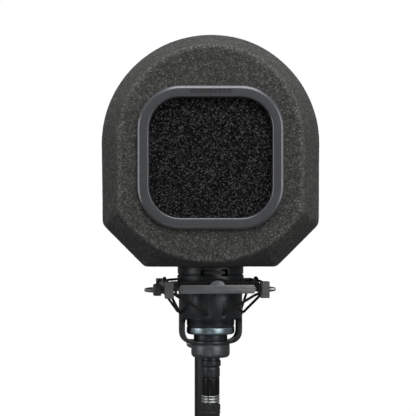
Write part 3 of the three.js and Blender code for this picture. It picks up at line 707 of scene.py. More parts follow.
bezel_section = rounded(
    [
        (1000 + 0.5, BK, 0.4),
        (1000 + 0.0, BK - 1.0, 0.6),
        (1000 + 0.0, BF + 2.1, 0.4),
        (1000 + 0.5, BF + 1.2, 0.4),
        (1000 + 2.5, BF + 0.08, 0.7),
        (1000 + BB - 1.3, BF + 0.25, 0.3),
        (1000 + BB - 0.5, BF + 0.9, 0.3),
        (1000 + BB, BF + 2.2, 0.4),
        (1000 + BB, BK + 3.4, 0.3),
        (1000 + BB - 1.7, BK + 3.4, 0.3),
        (1000 + BB - 1.7, BK + 14, 0.5),
        (1000 + BB - 3.9, BK + 14, 0.5),
        (1000 + BB - 3.9, BK, 0.4),
    ],
    0.4,
    3,
)
bezel = link_mesh("pop_filter_frame", *loop_skin([bz(a - 1000, y) for a, y in bezel_section], True), square)
# a plain row of engraved dashes at the top, where such frames carry a printed mark
MARKS = [(-18.6 + 4.24 * i, -18.6 + 4.24 * i + 3.3) for i in range(9)]
MARK_Z = POP_Z + BH / 2 - 5.4


def mark_box(x0, x1, grow, y0, y1):
    return prism_obj("mark", box_outline(x0 - grow, x1 + grow, MARK_Z - 1.9 - grow, MARK_Z + 1.9 + grow, 0.6, 3), y0, y1, "xz", square)


boolean(bezel, [mark_box(x0, x1, 0, -108, BF + 0.55) for x0, x1 in MARKS])
finish_piece(bezel, "bezel", "pop_filter", ["pop_filter_bezel"], 28)


inlay = joined([mark_box(x0, x1, -0.06, BF + 0.34, BF + 0.54) for x0, x1 in MARKS], "pop_filter_frame_mark")
finish_piece(inlay, "engraved", "pop_filter", ())

# the coarse black foam screen: a grid with an open-celled relief
SI = BB - 1.7 + 0.35
step = 0.66
hw, hh, R = BW / 2 - SI, BH / 2 - SI, BR - SI
nx, nz = int(2 * hw / step), int(2 * hh / step)
bm = bmesh.new()
grid = {}


def inside(x, z):
    dx, dz = abs(x) - (hw - R), abs(z) - (hh - R)
    return not (dx > 0 and dz > 0 and math.hypot(dx, dz) > R)


for i in range(nx + 1):
    for j in range(nz + 1):
        x, z = -hw + 2 * hw * i / nx, -hh + 2 * hh * j / nz
        if inside(x, z):
            p = Vector((x, 0, z))
            d = noise.noise(p * 0.71) * 0.45 + noise.noise(p * 1.37 + Vector((5, 5, 5))) * 0.55 + noise.noise(p * 0.06) * 0.25
            grid[i, j] = bm.verts.new(square(x, BK + 4.5 - d, POP_Z + z))
for i in range(nx):
    for j in range(nz):
        q = [grid.get(t) for t in ((i, j), (i + 1, j), (i + 1, j + 1), (i, j + 1))]
        if None not in q:
            bm.faces.new(q)
bmesh.ops.delete(bm, geom=[v for v in bm.verts if not v.link_faces], context="VERTS")
ext = bmesh.ops.extrude_face_region(bm, geom=list(bm.faces))
back_y = square(0, BK + 9.2, 0)[1]
for v in [g for g in ext["geom"] if isinstance(g, bmesh.types.BMVert)]:
    v.co.y = back_y
bmesh.ops.recalc_face_normals(bm, faces=bm.faces)
me = bpy.data.meshes.new("pop_filter_foam_screen")
bm.to_mesh(me)
bm.free()
screen = bpy.data.objects.new("pop_filter_foam_screen", me)
SCENE.collection.objects.link(screen)
finish_piece(screen, "screen", "pop_filter", ["pop_filter_screen"], 60)

# inner mesh: a fine woven wire panel
wires = []
bm = bmesh.new()
pitch = 2.4
y_mid = BK + 10.15


def wire(a, b, rr, phase):
    n = max(2, int((Vector(b) - Vector(a)).length / (pitch * 0.5)))
    ring_prev = None
    d = (Vector(b) - Vector(a)).normalized()
    u = d.cross(Vector((0, 1, 0)))
    for s in range(n + 1):
        p = Vector(a).lerp(Vector(b), s / n)
        p.y += 0.13 * (1 if (s + phase) % 2 else -1)
        cur = [bm.verts.new(square(*(p + rr * (math.cos(t) * u + math.sin(t) * Vector((0, 1, 0)))))) for t in (0.785, 2.356, 3.927, 5.498)]
        if ring_prev:
            for q in range(4):
                bm.faces.new((ring_prev[q], ring_prev[(q + 1) % 4], cur[(q + 1) % 4], cur[q]))
        else:
            bm.faces.new(cur[::-1])
        ring_prev = cur
    bm.faces.new(ring_prev)


def span(t, half_t, half_o, R):
    """Half length of a straight wire at offset t inside the rounded rectangle."""
    d = abs(t) - (half_t - R)
    return half_o if d <= 0 else half_o - R + math.sqrt(max(R * R - d * d, 0))


hw2, hh2, R2 = hw - 0.2, hh - 0.2, R
i = 0
t = -math.floor(hw2 / pitch) * pitch
while t <= hw2:
    L = span(t, hw2, hh2, R2)
    wire((t, y_mid, POP_Z - L), (t, y_mid, POP_Z + L), 0.26, i)
    t += pitch
    i += 1
t = -math.floor(hh2 / pitch) * pitch
while t <= hh2:
    L = span(t, hh2, hw2, R2)
    wire((-L, y_mid, POP_Z + t), (L, y_mid, POP_Z + t), 0.26, i + 1)
    t += pitch
    i += 1
bmesh.ops.recalc_face_normals(bm, faces=bm.faces)
me = bpy.data.meshes.new("pop_filter_wire_mesh")
bm.to_mesh(me)
bm.free()
wiremesh = bpy.data.objects.new("pop_filter_wire_mesh", me)
SCENE.collection.objects.link(wiremesh)
finish_piece(wiremesh, "grille", "pop_filter", ["pop_filter_mesh"], 40)

SR = BB - 1.7 + 0.3
ret = rounded(
    [
        (SR + 1000, BK + 10.9),
        (SR + 1000, BK + 14.3),
        (BB - 3.9 + 1000, BK + 14.3),
        (BB - 3.9 + 1000, BK + 16.3, 0.8),
        (SR + 6 + 1000, BK + 16.3, 0.8),
        (SR + 6 + 1000, BK + 10.9),
    ],
    0.3,
    3,
)
o = link_mesh("pop_filter_back_ring", *loop_skin([bz(a - 1000, y) for a, y in ret], True), square)
finish_piece(o, "black", "pop_filter", ["pop_filter_retaining_ring"], 30)

# ------------------------------------------------------------------ microphone
lathe(
    "mic_body",
    [(25, 118.6, 0.5), (25, 241.7, 0.5), (23, 241.7), (23, 118.6)],
    "satin", "microphone", ["mic_body_tube"], 128,
)
lathe(
    "mic_head_band",
    [(25, 242.0), (25.4, 242.6), (25.4, 244.2, 0.3), (25.1, 244.5, 0.2), (25.4, 244.8, 0.3), (25.4, 246.1), (25, 246.7), (11, 246.7), (11, 242.0)],
    "satin", "microphone", ["mic_head_ring"], 128,
)
# woven grille: a wire dome
bm = bmesh.new()
prof = [(24.2, 247.2), (24.2, 290)] + [
    (24.2 * math.cos(a) ** 0.55 if math.cos(a) > 1e-6 else 0.0, 290 + 15.2 * math.sin(a) ** 0.9) for a in np.linspace(0.08, math.pi / 2 * 0.93, 12)
]
dense = []
for (r0, z0), (r1, z1) in zip(prof, prof[1:]):
    n = max(1, int(math.hypot(r1 - r0, z1 - z0) / 1.9))
    for s in range(n):
        dense.append((r0 + (r1 - r0) * s / n, z0 + (z1 - z0) * s / n))
dense.append(prof[-1])
NG = 72
rows = [[bm.verts.new(turned(r * math.cos(2 * math.pi * (j + 0.5 * (i % 2)) / NG), r * math.sin(2 * math.pi * (j + 0.5 * (i % 2)) / NG), z)) for j in range(NG)] for i, (r, z) in enumerate(dense)]
for i in range(len(rows) - 1):
    for j in range(NG):
        k2 = (j + 1) % NG
        if i % 2 == 0:
            bm.faces.new((rows[i][j], rows[i][k2], rows[i + 1][j]))
            bm.faces.new((rows[i][k2], rows[i + 1][k2], rows[i + 1][j]))
        else:
            bm.faces.new((rows[i][j], rows[i + 1][k2], rows[i + 1][j]))
            bm.faces.new((rows[i][j], rows[i][k2], rows[i + 1][k2]))
top = bm.verts.new(turned(0, 0, 305.4))
for j in range(NG):
    bm.faces.new((rows[-1][j], rows[-1][(j + 1) % NG], top))
me = bpy.data.meshes.new("mic_grille_wire")
bm.to_mesh(me)
bm.free()
gw = bpy.data.objects.new("mic_grille_wire", me)
SCENE.collection.objects.link(gw)
mod = gw.modifiers.new("wire", "WIREFRAME")
mod.thickness = 0.00050
mod.use_even_offset = False
mod.use_boundary = True
apply_mods(gw)
finish_piece(gw, "grille", "microphone", ["mic_head_grille"], 60)
lathe(
    "mic_grille_hoop",
    [(24.9, 247.0), (24.9, 250.4), (23.9, 250.4), (23.9, 247.0)],
    "satin", "microphone", (), 96, fillet=0.3,
)
lathe(
    "mic_grille_cap_band",
    [(24.9, 286.0), (24.9, 288.6), (23.7, 288.6), (23.7, 286.0)],
    "satin", "microphone", (), 96, fillet=0.3,
)
lathe(
    "capsule_stand",
    [(0, 242.4), (10.6, 242.4), (10.6, 249.0, 1.0), (4.4, 251.0, 1.0), (3.0, 258.0, 0.6), (0, 258.0)],
    "black", "microphone", ["capsule_saddle"], 48,
)


def lathe_y(name, profile, mat, body, replaces=(), at=(0, 0, 0), segs=48, fillet=0.3):
    verts, faces = revolve(rounded(profile, fillet), segs)
    v2 = [(at[0] + x, at[1] + z, at[2] + y) for x, y, z in verts]
    return finish_piece(link_mesh(name, v2, faces, turned), mat, body, replaces)


lathe_y("capsule_ring", [(12.5, -5), (17, -5, 0.8), (17, -1.2), (16.2, -0.9, 0.2), (16.2, 0.9, 0.2), (17, 1.2), (17, 5, 0.8), (12.5, 5)], "brass", "microphone", ["condenser_capsule"], (0, 0, 275.6), 64)
lathe_y("capsule_diaphragm", [(0, -4.2), (12.3, -4.2, 0.2), (12.3, 4.2, 0.2), (0, 4.2)], "gold", "microphone", (), (0, 0, 275.6), 64)

# base: a ridged dark ring over the blued trim ring, and the threaded neck
ridges = [(12, 109.6), (23.4, 109.6, 0.2), (23.5, 111.4, 0.3), (23.9, 111.9, 0.2)]
z = 112.4
while z < 115.2:
    ridges += [(23.9, z, 0.1), (23.45, z + 0.3, 0.1), (23.9, z + 0.6, 0.1)]
    z += 0.95
ridges += [(23.9, 115.6, 0.3), (24.8, 117.0, 0.3), (24.8, 118.3, 0.3), (12, 118.3)]
lathe("mic_base", ridges, "satin", "microphone", ["mic_base_ring"], 128)
lathe(
    "mic_blued_trim",
    [(13.8, 102.3), (22.6, 102.3, 0.6), (23.9, 103.6, 0.8), (23.9, 108.6, 0.4), (23.6, 109.3, 0.3), (13.8, 109.3)],
    "trim", "microphone", ["mic_trim_ring"], 160,
)
thread = [(10.9, 80.5), (14.9, 80.5, 0.3)]
z = 81.4
while z < 94.6:
    thread += [(15.5, z, 0.08), (15.0, z + 0.5, 0.08)]
    z += 1.0
thread += [(15.5, 95.6, 0.2), (15.5, 96.0, 0.1), (16.8, 96.0, 0.3), (16.8, 102.0), (10.9, 102.0)]
lathe("mic_neck", thread, "satin", "microphone", ["mic_threaded_neck"], 96)
PINS = [(4.6 * math.cos(math.radians(d)), 4.6 * math.sin(math.radians(d))) for d in (90, 210, 330)]
lathe("pin_insert", [(0, 96.8), (10.6, 96.8), (10.6, 101.6), (0, 101.6)], "black", "microphone", ["xlr_pin_insert"], 48)
for i, (x, y) in enumerate(PINS):
    verts, faces = revolve(rounded([(0, 84.8), (1.15, 84.8, 0.7), (1.15, 97.2, 0.1), (0, 97.2)], 0.2), 20)
    o = link_mesh("contact_pin_%d" % i, [(a + x, b + y, c) for a, b, c in verts], faces, turned)
    finish_piece(o, "brass", "microphone", ())

# the circuit board keeps its own solid
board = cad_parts["circuit_board"]
board.data.materials.clear()
board.data.materials.append(M["board"])

sw = prism_obj("pad_switch_plate", box_outline(-10.6, 10.6, 162.2, 165.6, 0.8), -27.6, -25.3)
bevel(sw, 0.25)
nub = prism_obj("n", box_outline(-2.6, 2.6, 162.9, 164.9, 0.4), -28.0, -26.4)
boolean(sw, [nub], "UNION")
finish_piece(sw, "black", "pad_switch", ["mic_pad_switch"])

# ------------------------------------------------------------------ basket
cup_profile = [
    (28, 169.9, 0.5),
    (32.9, 169.9, 0.9),
    (32.9, 162.8, 0.2),
    (32.2, 162.2, 0.2),
    (32.2, 161.2, 0.2),
    (33.2, 160.6, 0.3),
    (33.2, 156.6, 0.8),
    (31.7, 141, 3),
    (31.7, 104.4, 3),
    (30.9, 100.0, 3),
    (28.6, 96.4, 3),
    (25.4, 94.0, 3),
    (22.0, 92.9, 1),
    (19.3, 92.6, 0.4),
    (16, 92.6, 0.3),
    (16, 95.6, 0.3),
    (19.8, 95.6, 1),
    (23.0, 96.4, 2),
    (25.6, 98.4, 2),
    (27.2, 101.2, 2),
    (28, 104.8, 2),
]
basket = lathe("basket", cup_profile, "satin", None, segs=144, done=False, steps=5)
cuts = []
for sgn in (-1, 1):
    R = 6.0
    line = [(9.0, 84.0), (9.0, 118.7 - R)]
    for kk in range(1, 9):
        a = math.pi - (math.pi / 2) * kk / 8
        line.append((9.0 + R + R * math.cos(a), 118.7 - R + R * math.sin(a)))
    line += [(45.0, 118.7), (45.0, 84.0)]
    line = [(sgn * a, b) for a, b in line]
    cutter = prism_obj("cut_window", line, -40, 40, "yz")
    keep = rod_obj("keep", (0, 0, 80), (0, 0, 97.5), 19.5, 96)
    boolean(cutter, [keep])
    cuts.append(cutter)
cuts.append(prism_obj("cut_slot", box_outline(-13.4, 13.4, 160.4, 167.2, 1.6), -40, -20, "xz"))
TURN = math.radians(16.3)
for q in range(4):
    for s in (-1, 1):
        a = q * math.pi / 2 + s * TURN
        d = (math.sin(a), -math.cos(a))
        cuts.append(rod_obj("cut_hole", (d[0] * 24, d[1] * 24, 124), (d[0] * 38, d[1] * 38, 124), 1.8, 24))
boolean(basket, cuts)
bevel(basket, 0.35, 2, 40)
finish_piece(basket, "satin", "basket", ["basket_cup"], 30)

bm_all = None
for q in range(4):
    for s in (-1, 1):
        a = q * math.pi / 2 + s * TURN
        verts, faces = revolve(rounded([(1.75, -0.2), (2.5, -0.2, 0.2), (2.5, 0.5, 0.4), (1.75, 0.5, 0.3)], 0.2), 28)
        out = Vector((math.sin(a), -math.cos(a), 0))
        side = Vector((math.cos(a), math.sin(a), 0))
        base = out * 31.75 + Vector((0, 0, 124))
        vv = [tuple(base + side * x + Vector((0, 0, 1)) * y + out * z) for x, y, z in verts]
        o = link_mesh("eyelet", vv, faces, turned)
        if bm_all is None:
            bm_all = o
            o.name = "cord_eyelets"
        else:
            bm = bmesh.new()
            bm.from_mesh(bm_all.data)
            bm.from_mesh(o.data)
            bm.to_mesh(bm_all.data)
            bm.free()
            bpy.data.objects.remove(o)
finish_piece(bm_all, "black", "basket", ())

felt = lathe(
    "basket_felt",
    [(25.35, 146.2), (27.65, 146.2), (27.65, 159.4), (25.35, 159.4)],
    "felt", None, segs=160, fillet=0.5, done=False,
)
mod = felt.modifiers.new("sub", "SUBSURF")
mod.subdivision_type = "SIMPLE"
mod.levels = 1
apply_mods(felt)
displace(felt, lambda p, n: noise.noise(p * 900) * 0.00012)
finish_piece(felt, "felt", "basket", ["basket_felt_liner"], 180)

lathe(
    "locking_collar",
    [(16.0, 79.2), (17.3, 79.2, 0.6), (19.3, 81.4, 1.6), (19.3, 90.6, 0.2), (19.0, 90.9, 0.15), (19.0, 91.2, 0.15), (19.3, 91.5, 0.2), (18.9, 92.3, 0.4), (16.0, 92.3)],
    "collar", "collar", ["lock_collar"], 128,
)

# ------------------------------------------------------------------ outer ring
RX, RY, BLK = 46.1, 49.0, 8.6
BB0, BB1 = 144.5, 153.0


def rotate(turn):
    ct, st = math.cos(turn), math.sin(turn)

    def xf(x, y, z):
        return turned(x * ct - y * st, x * st + y * ct, z)

    return xf


def ring_bar(name, half, offset, turn, node):
    """A bar with ridged outer face, tapered to a thin tongue at each end, and a grooved lug at its middle."""
    xf = rotate(turn)
    end = half - BLK / 2 - 0.2
    be = end - 4.7
    yo, yi = -offset - 2.2, -offset + 2.2
    line = [(be - 1.8, BB1), (be, BB1 - 2.6), (be, BB0 + 2.6), (be - 1.6, BB0)]
    line = line + [(-x, z) for x, z in reversed(line)]
    o = prism_obj(name, line, yo, yi, "xz", xf)
    bevel(o, 0.45, 3, 30)
    grooves = []
    for zz in (150.9, 149.2, 147.5, 145.9):
        n = 6
        sec = [(yo - 0.4, zz - 0.45), (yo + 0.30, zz - 0.12), (yo + 0.30, zz + 0.12), (yo - 0.4, zz + 0.45)]
        grooves.append(prism_obj("groove", sec, -be - 2, be + 2, "yz", xf))
    boolean(o, grooves)
    extra = []

    def hump(w, rise):
        return [(w, BB1 - 1.0)] + [(w * math.cos(a), BB1 + rise * math.sin(a)) for a in np.linspace(0, math.pi, 32)] + [(-w, BB1 - 1.0)]

    for y0, y1 in ((yo, yo + 0.7), (yi - 0.7, yi)):
        h = prism_obj("cheek", hump(6.7, 4.1), y0, y1, "xz", xf)
        bevel(h, 0.2, 2, 50)
        extra.append(h)
    extra.append(prism_obj("groove_floor", hump(6.0, 3.3), yo + 0.3, yi - 0.3, "xz", xf))
    boolean(o, extra, "UNION")
    finish_piece(o, "bar", "suspension_frame", [node], 30)
    pins = [prism_obj("tongue", box_outline(yo + 0.35, yi - 0.35, 147.15, 150.35, 1.0), *sorted((sx * (be - 0.8), sx * end)), "yz", xf) for sx in (-1, 1)]
    finish_piece(joined(pins, name + "_tongues"), "black", "suspension_frame", (), 40)


SIDES = [("front", RX, RY, 0.0), ("right", RY, RX, math.pi / 2), ("rear", RX, RY, math.pi), ("left", RY, RX, 3 * math.pi / 2)]
for side, half, offset, turn in SIDES:
    ring_bar("mount_bar_" + side, half, offset, turn, "ring_bar_" + side)

for where, sx, sy in (("front_left", -1, -1), ("front_right", 1, -1), ("rear_right", 1, 1), ("rear_left", -1, 1)):
    h = BLK / 2
    c = 1.2
    line = [(-h + c, -h), (h - c, -h), (h, -h + c), (h, h - c), (h - c, h), (-h + c, h), (-h, h - c), (-h, -h + c)]
    o = prism_obj("mount_corner_" + where, [(sx * RX + a, sy * RY + b) for a, b in line], 140.1, 156.1, "xy")
    bevel(o, 0.75, 4, 30)
    cap = rod_obj("cap", (sx * RX, sy * RY, 155.3), (sx * RX, sy * RY, 160.0), 2.1, 32)
    boolean(o, [cap])
    finish_piece(o, "block", "suspension_frame", ["corner_block_" + where], 30)
    verts, faces = revolve(rounded([(0, 153.9), (1.95, 153.9), (1.95, 155.6, 0.5), (0, 155.8)], 0.3), 24)
    pin = link_mesh("corner_pin_" + where, [(a + sx * RX, b + sy * RY, cc) for a, b, cc in verts], faces, turned)
    finish_piece(pin, "nickel", "suspension_frame", ())

for side, sx in (("left", -1), ("right", 1)):
    def knurl(a, r, z):
        return r - (0.22 * (0.5 + 0.5 * math.cos(a * 30)) if r > 5.6 and 2.6 < abs(z) - 50 < 5.9 else 0)

    hub = [(0, 48.7), (4.2, 48.7, 0.2), (4.2, 49.7, 0.1), (6.1, 49.7, 0.5), (6.1, 52.5, 0.1), (6.1, 53.0, 0.05), (6.1, 55.8, 0.05), (6.1, 56.2, 0.1), (5.3, 57.4, 0.6), (2.9, 57.4, 0.2), (2.9, 57.2, 0.1), (0, 57.2)]
    lathe_x("side_hub_" + side, [(r, sx * x, *q) for r, x, *q in hub], "block", "suspension_frame", ["side_stud_" + side], (0, 0, 146.3), 120, wobble=knurl)
    tip = [(0, 57.5), (2.6, 57.5, 0.2), (2.75, 58.3, 0.2), (2.45, 58.7, 0.1), (2.7, 59.1, 0.2), (2.7, 60.6, 0.4), (2.35, 62.6, 1.0), (2.0, 65.0, 0.8), (1.3, 66.2, 0.6), (0, 66.3)]
    lathe_x("side_tip_" + side, [(r, sx * x, *q) for r, x, *q in tip], "nickel", "suspension_frame", ["stud_tip_" + side], (0, 0, 146.3), 40)


# ------------------------------------------------------------------ elastic cords
def catmull(points, per=10):
    """Centripetal Catmull-Rom through the points."""
    P = [Vector(p) for p in points]
    P = [P[0] * 2 - P[1]] + P + [P[-1] * 2 - P[-2]]
    out = []
    for i in range(1, len(P) - 2):
        p0, p1, p2, p3 = P[i - 1 : i + 3]
        t0 = 0
        t1 = t0 + (p1 - p0).length ** 0.5
        t2 = t1 + (p2 - p1).length ** 0.5
        t3 = t2 + (p3 - p2).length ** 0.5
        for s in range(per):
            t = t1 + (t2 - t1) * s / per
            a1 = p0 * ((t1 - t) / (t1 - t0)) + p1 * ((t - t0) / (t1 - t0))
            a2 = p1 * ((t2 - t) / (t2 - t1)) + p2 * ((t - t1) / (t2 - t1))
            a3 = p2 * ((t3 - t) / (t3 - t2)) + p3 * ((t - t2) / (t3 - t2))
            b1 = a1 * ((t2 - t) / (t2 - t0)) + a2 * ((t - t0) / (t2 - t0))
            b2 = a2 * ((t3 - t) / (t3 - t1)) + a3 * ((t - t1) / (t3 - t1))
            out.append(b1 * ((t2 - t) / (t2 - t1)) + b2 * ((t - t1) / (t2 - t1)))
    out.append(P[-2].copy())
    return out


def tube(name, pts, r, segs, xf, swell=None):
    """A closed tube along points, with frames carried along so that it doesn't twist."""
    n = len(pts)
    tangents = [(pts[min(i + 1, n - 1)] - pts[max(i - 1, 0)]).normalized() for i in range(n)]
    u = tangents[0].orthogonal().normalized()
    verts = []
    for i, p in enumerate(pts):
        t = tangents[i]
        u = (u - t * u.dot(t)).normalized()
        v = t.cross(u)
        rr = r if swell is None else r * swell(i / (n - 1))
        for j in range(segs):
            a = 2 * math.pi * j / segs
            verts.append(p + rr * (math.cos(a) * u + math.sin(a) * v))
    faces = [tuple(range(segs - 1, -1, -1)), tuple((n - 1) * segs + j for j in range(segs))]
    for i in range(n - 1):
        for j in range(segs):
            k2 = (j + 1) % segs
            faces.append((i * segs + j, i * segs + k2, (i + 1) * segs + k2, (i + 1) * segs + j))
    return link_mesh(name, verts, faces, xf)


def cord_points(half, o):
    wrap = half - BLK / 2 - 1.6

    def h(r, z):
        return (-r * math.sin(TURN), -r * math.cos(TURN), z)

    foot, knee = Vector(h(33.5, 124.5)), Vector((-(wrap - 3.6), -(o - 2.4), BB0 - 1.9))
    left = [
        h(29, 124), h(31.2, 124), foot[:], foot.lerp(knee, 0.12)[:], foot.lerp(knee, 0.5)[:], foot.lerp(knee, 0.88)[:], knee[:],
        (-(wrap - 0.6), -(o + 0.4), BB0 - 0.3), (-wrap, -(o + 3.4), BB0 + 0.9),
        (-wrap, -(o + 4), BB1 - 4.3), (-wrap, -(o + 3.2), BB1 - 0.7), (-(wrap - 1.4), -(o + 0.6), BB1 + 1.1),
        (-(wrap - 5), -o, BB1 + 1.65), (-22, -o, BB1 + 2.3), (-12, -o, BB1 + 2.3), (-9.4, -o, BB1 + 2.6), (-6.6, -o, BB1 + 4), (-3.4, -o, BB1 + 4.9), (0, -o, BB1 + 5.1),
    ]
    return left + [(-x, y, z) for x, y, z in reversed(left[:-1])]


for side, half, offset, turn in SIDES:
    o = tube("elastic_" + side, catmull(cord_points(half, offset), 8), 1.3, 14, rotate(turn))
    finish_piece(o, "cord", None, ["elastic_cord_" + side], 60)
    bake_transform(o)

# ------------------------------------------------------------------ swivel and stem
PZ = 88.0
ear = [(SETBACK + 9 * math.cos(a), PZ + 9 * math.sin(a)) for a in np.linspace(math.pi, 2 * math.pi, 29)]
ear += [(SETBACK + 9, PZ + 12), (SETBACK + 6.6, PZ + 20), (SETBACK + 1.6, PZ + 20), (SETBACK - 9, PZ + 11)]
bracket = prism_obj("tilt_bracket", ear, -9.4, 9.4, "yz")
slot_cut = prism_obj("c", box_outline(SETBACK - 20, SETBACK + 20, 60, PZ + 10.2), -4.35, 4.35, "yz")
bolt_cut = rod_obj("c2", (-30, SETBACK, PZ), (30, SETBACK, PZ), 3.3, 40)
boolean(bracket, [slot_cut, bolt_cut])
arm = prism_obj("arm", box_outline(-11, 11, PZ + 12.5, 152.4, 2.2), SETBACK + 1.6, SETBACK + 6.6, "xz")
boolean(bracket, [arm], "UNION")
bevel(bracket, 0.5, 2, 35)
finish_piece(bracket, "satin", "suspension_frame", ["swivel_bracket"], 32)
for side, x in (("left", -6.5), ("right", 6.5)):
    verts, faces = revolve(rounded([(0, 0), (2.8, 0, 0.2), (2.8, 0.6, 0.3), (1.9, 2.2, 0.8), (0, 2.5)], 0.3), 32)
    sc = link_mesh("arm_screw_" + side, [(x + a, SETBACK + 6.9 + c_, 147.9 + b) for a, b, c_ in verts], faces, turned)
    cross = prism_obj("c", box_outline(x - 1.6, x + 1.6, 147.55, 148.25), SETBACK + 8.5, SETBACK + 12, "xz")
    cross2 = prism_obj("c", box_outline(x - 0.35, x + 0.35, 146.3, 149.5), SETBACK + 8.5, SETBACK + 12, "xz")
    boolean(sc, [cross, cross2])
    finish_piece(sc, "nickel", "suspension_frame", ["bracket_screw_" + side])

stem_o = lathe(
    "stem_tube",
    [(8, 0), (9.6, 0, 0.5), (10, 0.8, 0.4), (10, 76.6, 0.8), (9, 77.5, 0.6), (2, 77.5), (2, 18), (8, 18)],
    "stem", None, segs=96, xf=stem, done=False,
)
tong = [(8.6 * math.cos(a), PZ + 8.6 * math.sin(a)) for a in np.linspace(0, math.pi, 29)] + [(-8.6, 73.5), (8.6, 73.5)]
tg = prism_obj("t", tong, -4, 4, "yz", stem)
boolean(stem_o, [tg], "UNION")
boolean(stem_o, [rod_obj("c", (-30, 0, PZ), (30, 0, PZ), 3.3, 40, stem)])
bevel(stem_o, 0.3, 2, 40)
finish_piece(stem_o, "stem", "stand", ["stand_stem"], 32)
th = [(7.7, 0.4, 0.2), (7.7, 14)]
z = 13.6
inner = [(4.8, 14, 0.1)]
while z > 1.2:
    inner += [(4.8, z, 0.05), (5.2, z - 0.6, 0.05)]
    z -= 1.2
inner += [(4.8, 0.9, 0.1), (5.1, 0.4, 0.2)]
lathe("thread_bush", th + inner, "brass", "stand", ["thread_adapter"], 64, xf=stem, fillet=0.2)

at = (0, SETBACK, PZ)
lathe_x("tilt_bolt", [(0, -12.9), (2.7, -12.9, 0.2), (3.0, -12.5, 0.2), (3.0, 13.0, 0.2), (2.7, 13.4, 0.2), (0, 13.4)], "nickel", "suspension_frame", ["swivel_bolt"], at, 32)
nut_line = [(SETBACK + 5.2 * math.cos(a), PZ + 5.2 * math.sin(a)) for a in np.linspace(0, 2 * math.pi, 7)[:-1]]
nut = prism_obj("tilt_dome_nut", nut_line, -15.4, -9.7, "yz")
bevel(nut, 0.35, 2, 20)
dome = lathe_x("d", [(0, -15.0), (4.2, -15.0, 0.1), (4.2, -15.6, 0.8), (3.4, -17.4, 1.2), (1.6, -18.5, 0.8), (0, -18.6)], "nickel", None, at=at, segs=40, done=False)
boolean(nut, [dome], "UNION")
boolean(nut, [rod_obj("c", (-9, SETBACK, PZ), (-13.2, SETBACK, PZ), 3.3, 32)])
finish_piece(nut, "nickel", "suspension_frame", ["swivel_dome_nut"])


def lobes(a, r, x):
    return r - (1.5 * max(0.0, math.cos(a * 8)) ** 2.0 if r > 6 and x > 12.4 else 0)


knob = lathe_x(
    "tilt_knob",
    [(0, 13.8), (3.3, 13.8, 0.1), (3.3, 9.7), (5.6, 9.7, 0.3), (5.6, 12.2, 0.3), (8.2, 12.5, 0.6), (8.6, 13.4, 0.6), (8.3, 21.4, 1.2), (6.9, 22.4, 0.8), (3.0, 22.4, 0.4), (2.6, 22.0, 0.3), (0, 22.0)],
    "black", "clamp_knob", ["swivel_clamp_knob"], at, 160, wobble=lobes,
)

# ------------------------------------------------------------------ cable connector
shell = lathe(
    "plug_shell",
    [
        (8.4, 59.4), (9.4, 59.4, 0.3), (9.4, 68.0, 0.4), (9.0, 68.8, 0.2), (9.0, 69.6, 0.2), (10.3, 70.4, 0.4), (10.3, 75.2, 0.5),
        (9.6, 76.2, 0.3), (9.3, 76.2, 0.1), (9.3, 93.0, 0.3), (8.9, 93.4, 0.2), (8.4, 93.4),
    ],
    "satin", None, segs=112, done=False,
)
boolean(shell, [prism_obj("c", box_outline(-3.3, 3.3, 71, 75, 0.5), 4, 12, "xz")])
finish_piece(shell, "satin", "plug", ["xlr_shell"], 30)
soc = lathe("plug_socket", [(0, 70), (8.1, 70, 0.3), (8.1, 93, 0.4), (0, 93)], "black", None, segs=64, done=False)
holes = [rod_obj("c", (x, y, 83.6), (x, y, 96), 1.5, 24) for x, y in PINS]
holes.append(prism_obj("c", box_outline(-3.6, 3.6, 69, 75.2), 5.9, 10, "xz"))
boolean(soc, holes)
finish_piece(soc, "black", "plug", ["xlr_socket_insert"])
latch = prism_obj("plug_latch", box_outline(-3.0, 3.0, 71.4, 74.6, 0.5), 8.4, 11.6, "xz")
bevel(latch, 0.4, 3, 40)
finish_piece(latch, "black", "latch", ["xlr_latch_button"])
lathe(
    "plug_barrel",
    [(6, 41.6), (8.9, 41.6, 0.3), (9.1, 42.2, 0.3), (9.1, 57.8, 0.2), (8.8, 58.3, 0.1), (9.0, 58.6, 0.1), (8.8, 59.1, 0.2), (6, 59.1)],
    "gloss", "plug", ["xlr_barrel"], 112,
)
rings = [(6, 41.3), (8.5, 41.3, 0.1)]
for i in range(3):
    z = 41.1 - i * 2.8
    rings += [(9.1, z - 0.35, 0.5), (9.35, z - 1.1, 0.6), (9.1, z - 1.9, 0.5), (8.35, z - 2.4, 0.15)]
rings += [(8.35, 32.6, 0.1), (6, 32.6)]
lathe("plug_rings", rings, "chrome", "plug", ["xlr_chuck_rings"], 112)


def ribs(a, r, z):
    if 26.4 < z < 31.6 and r > 9.3:
        return r - 0.42 * (0.5 + 0.5 * math.cos(a * 36))
    return r


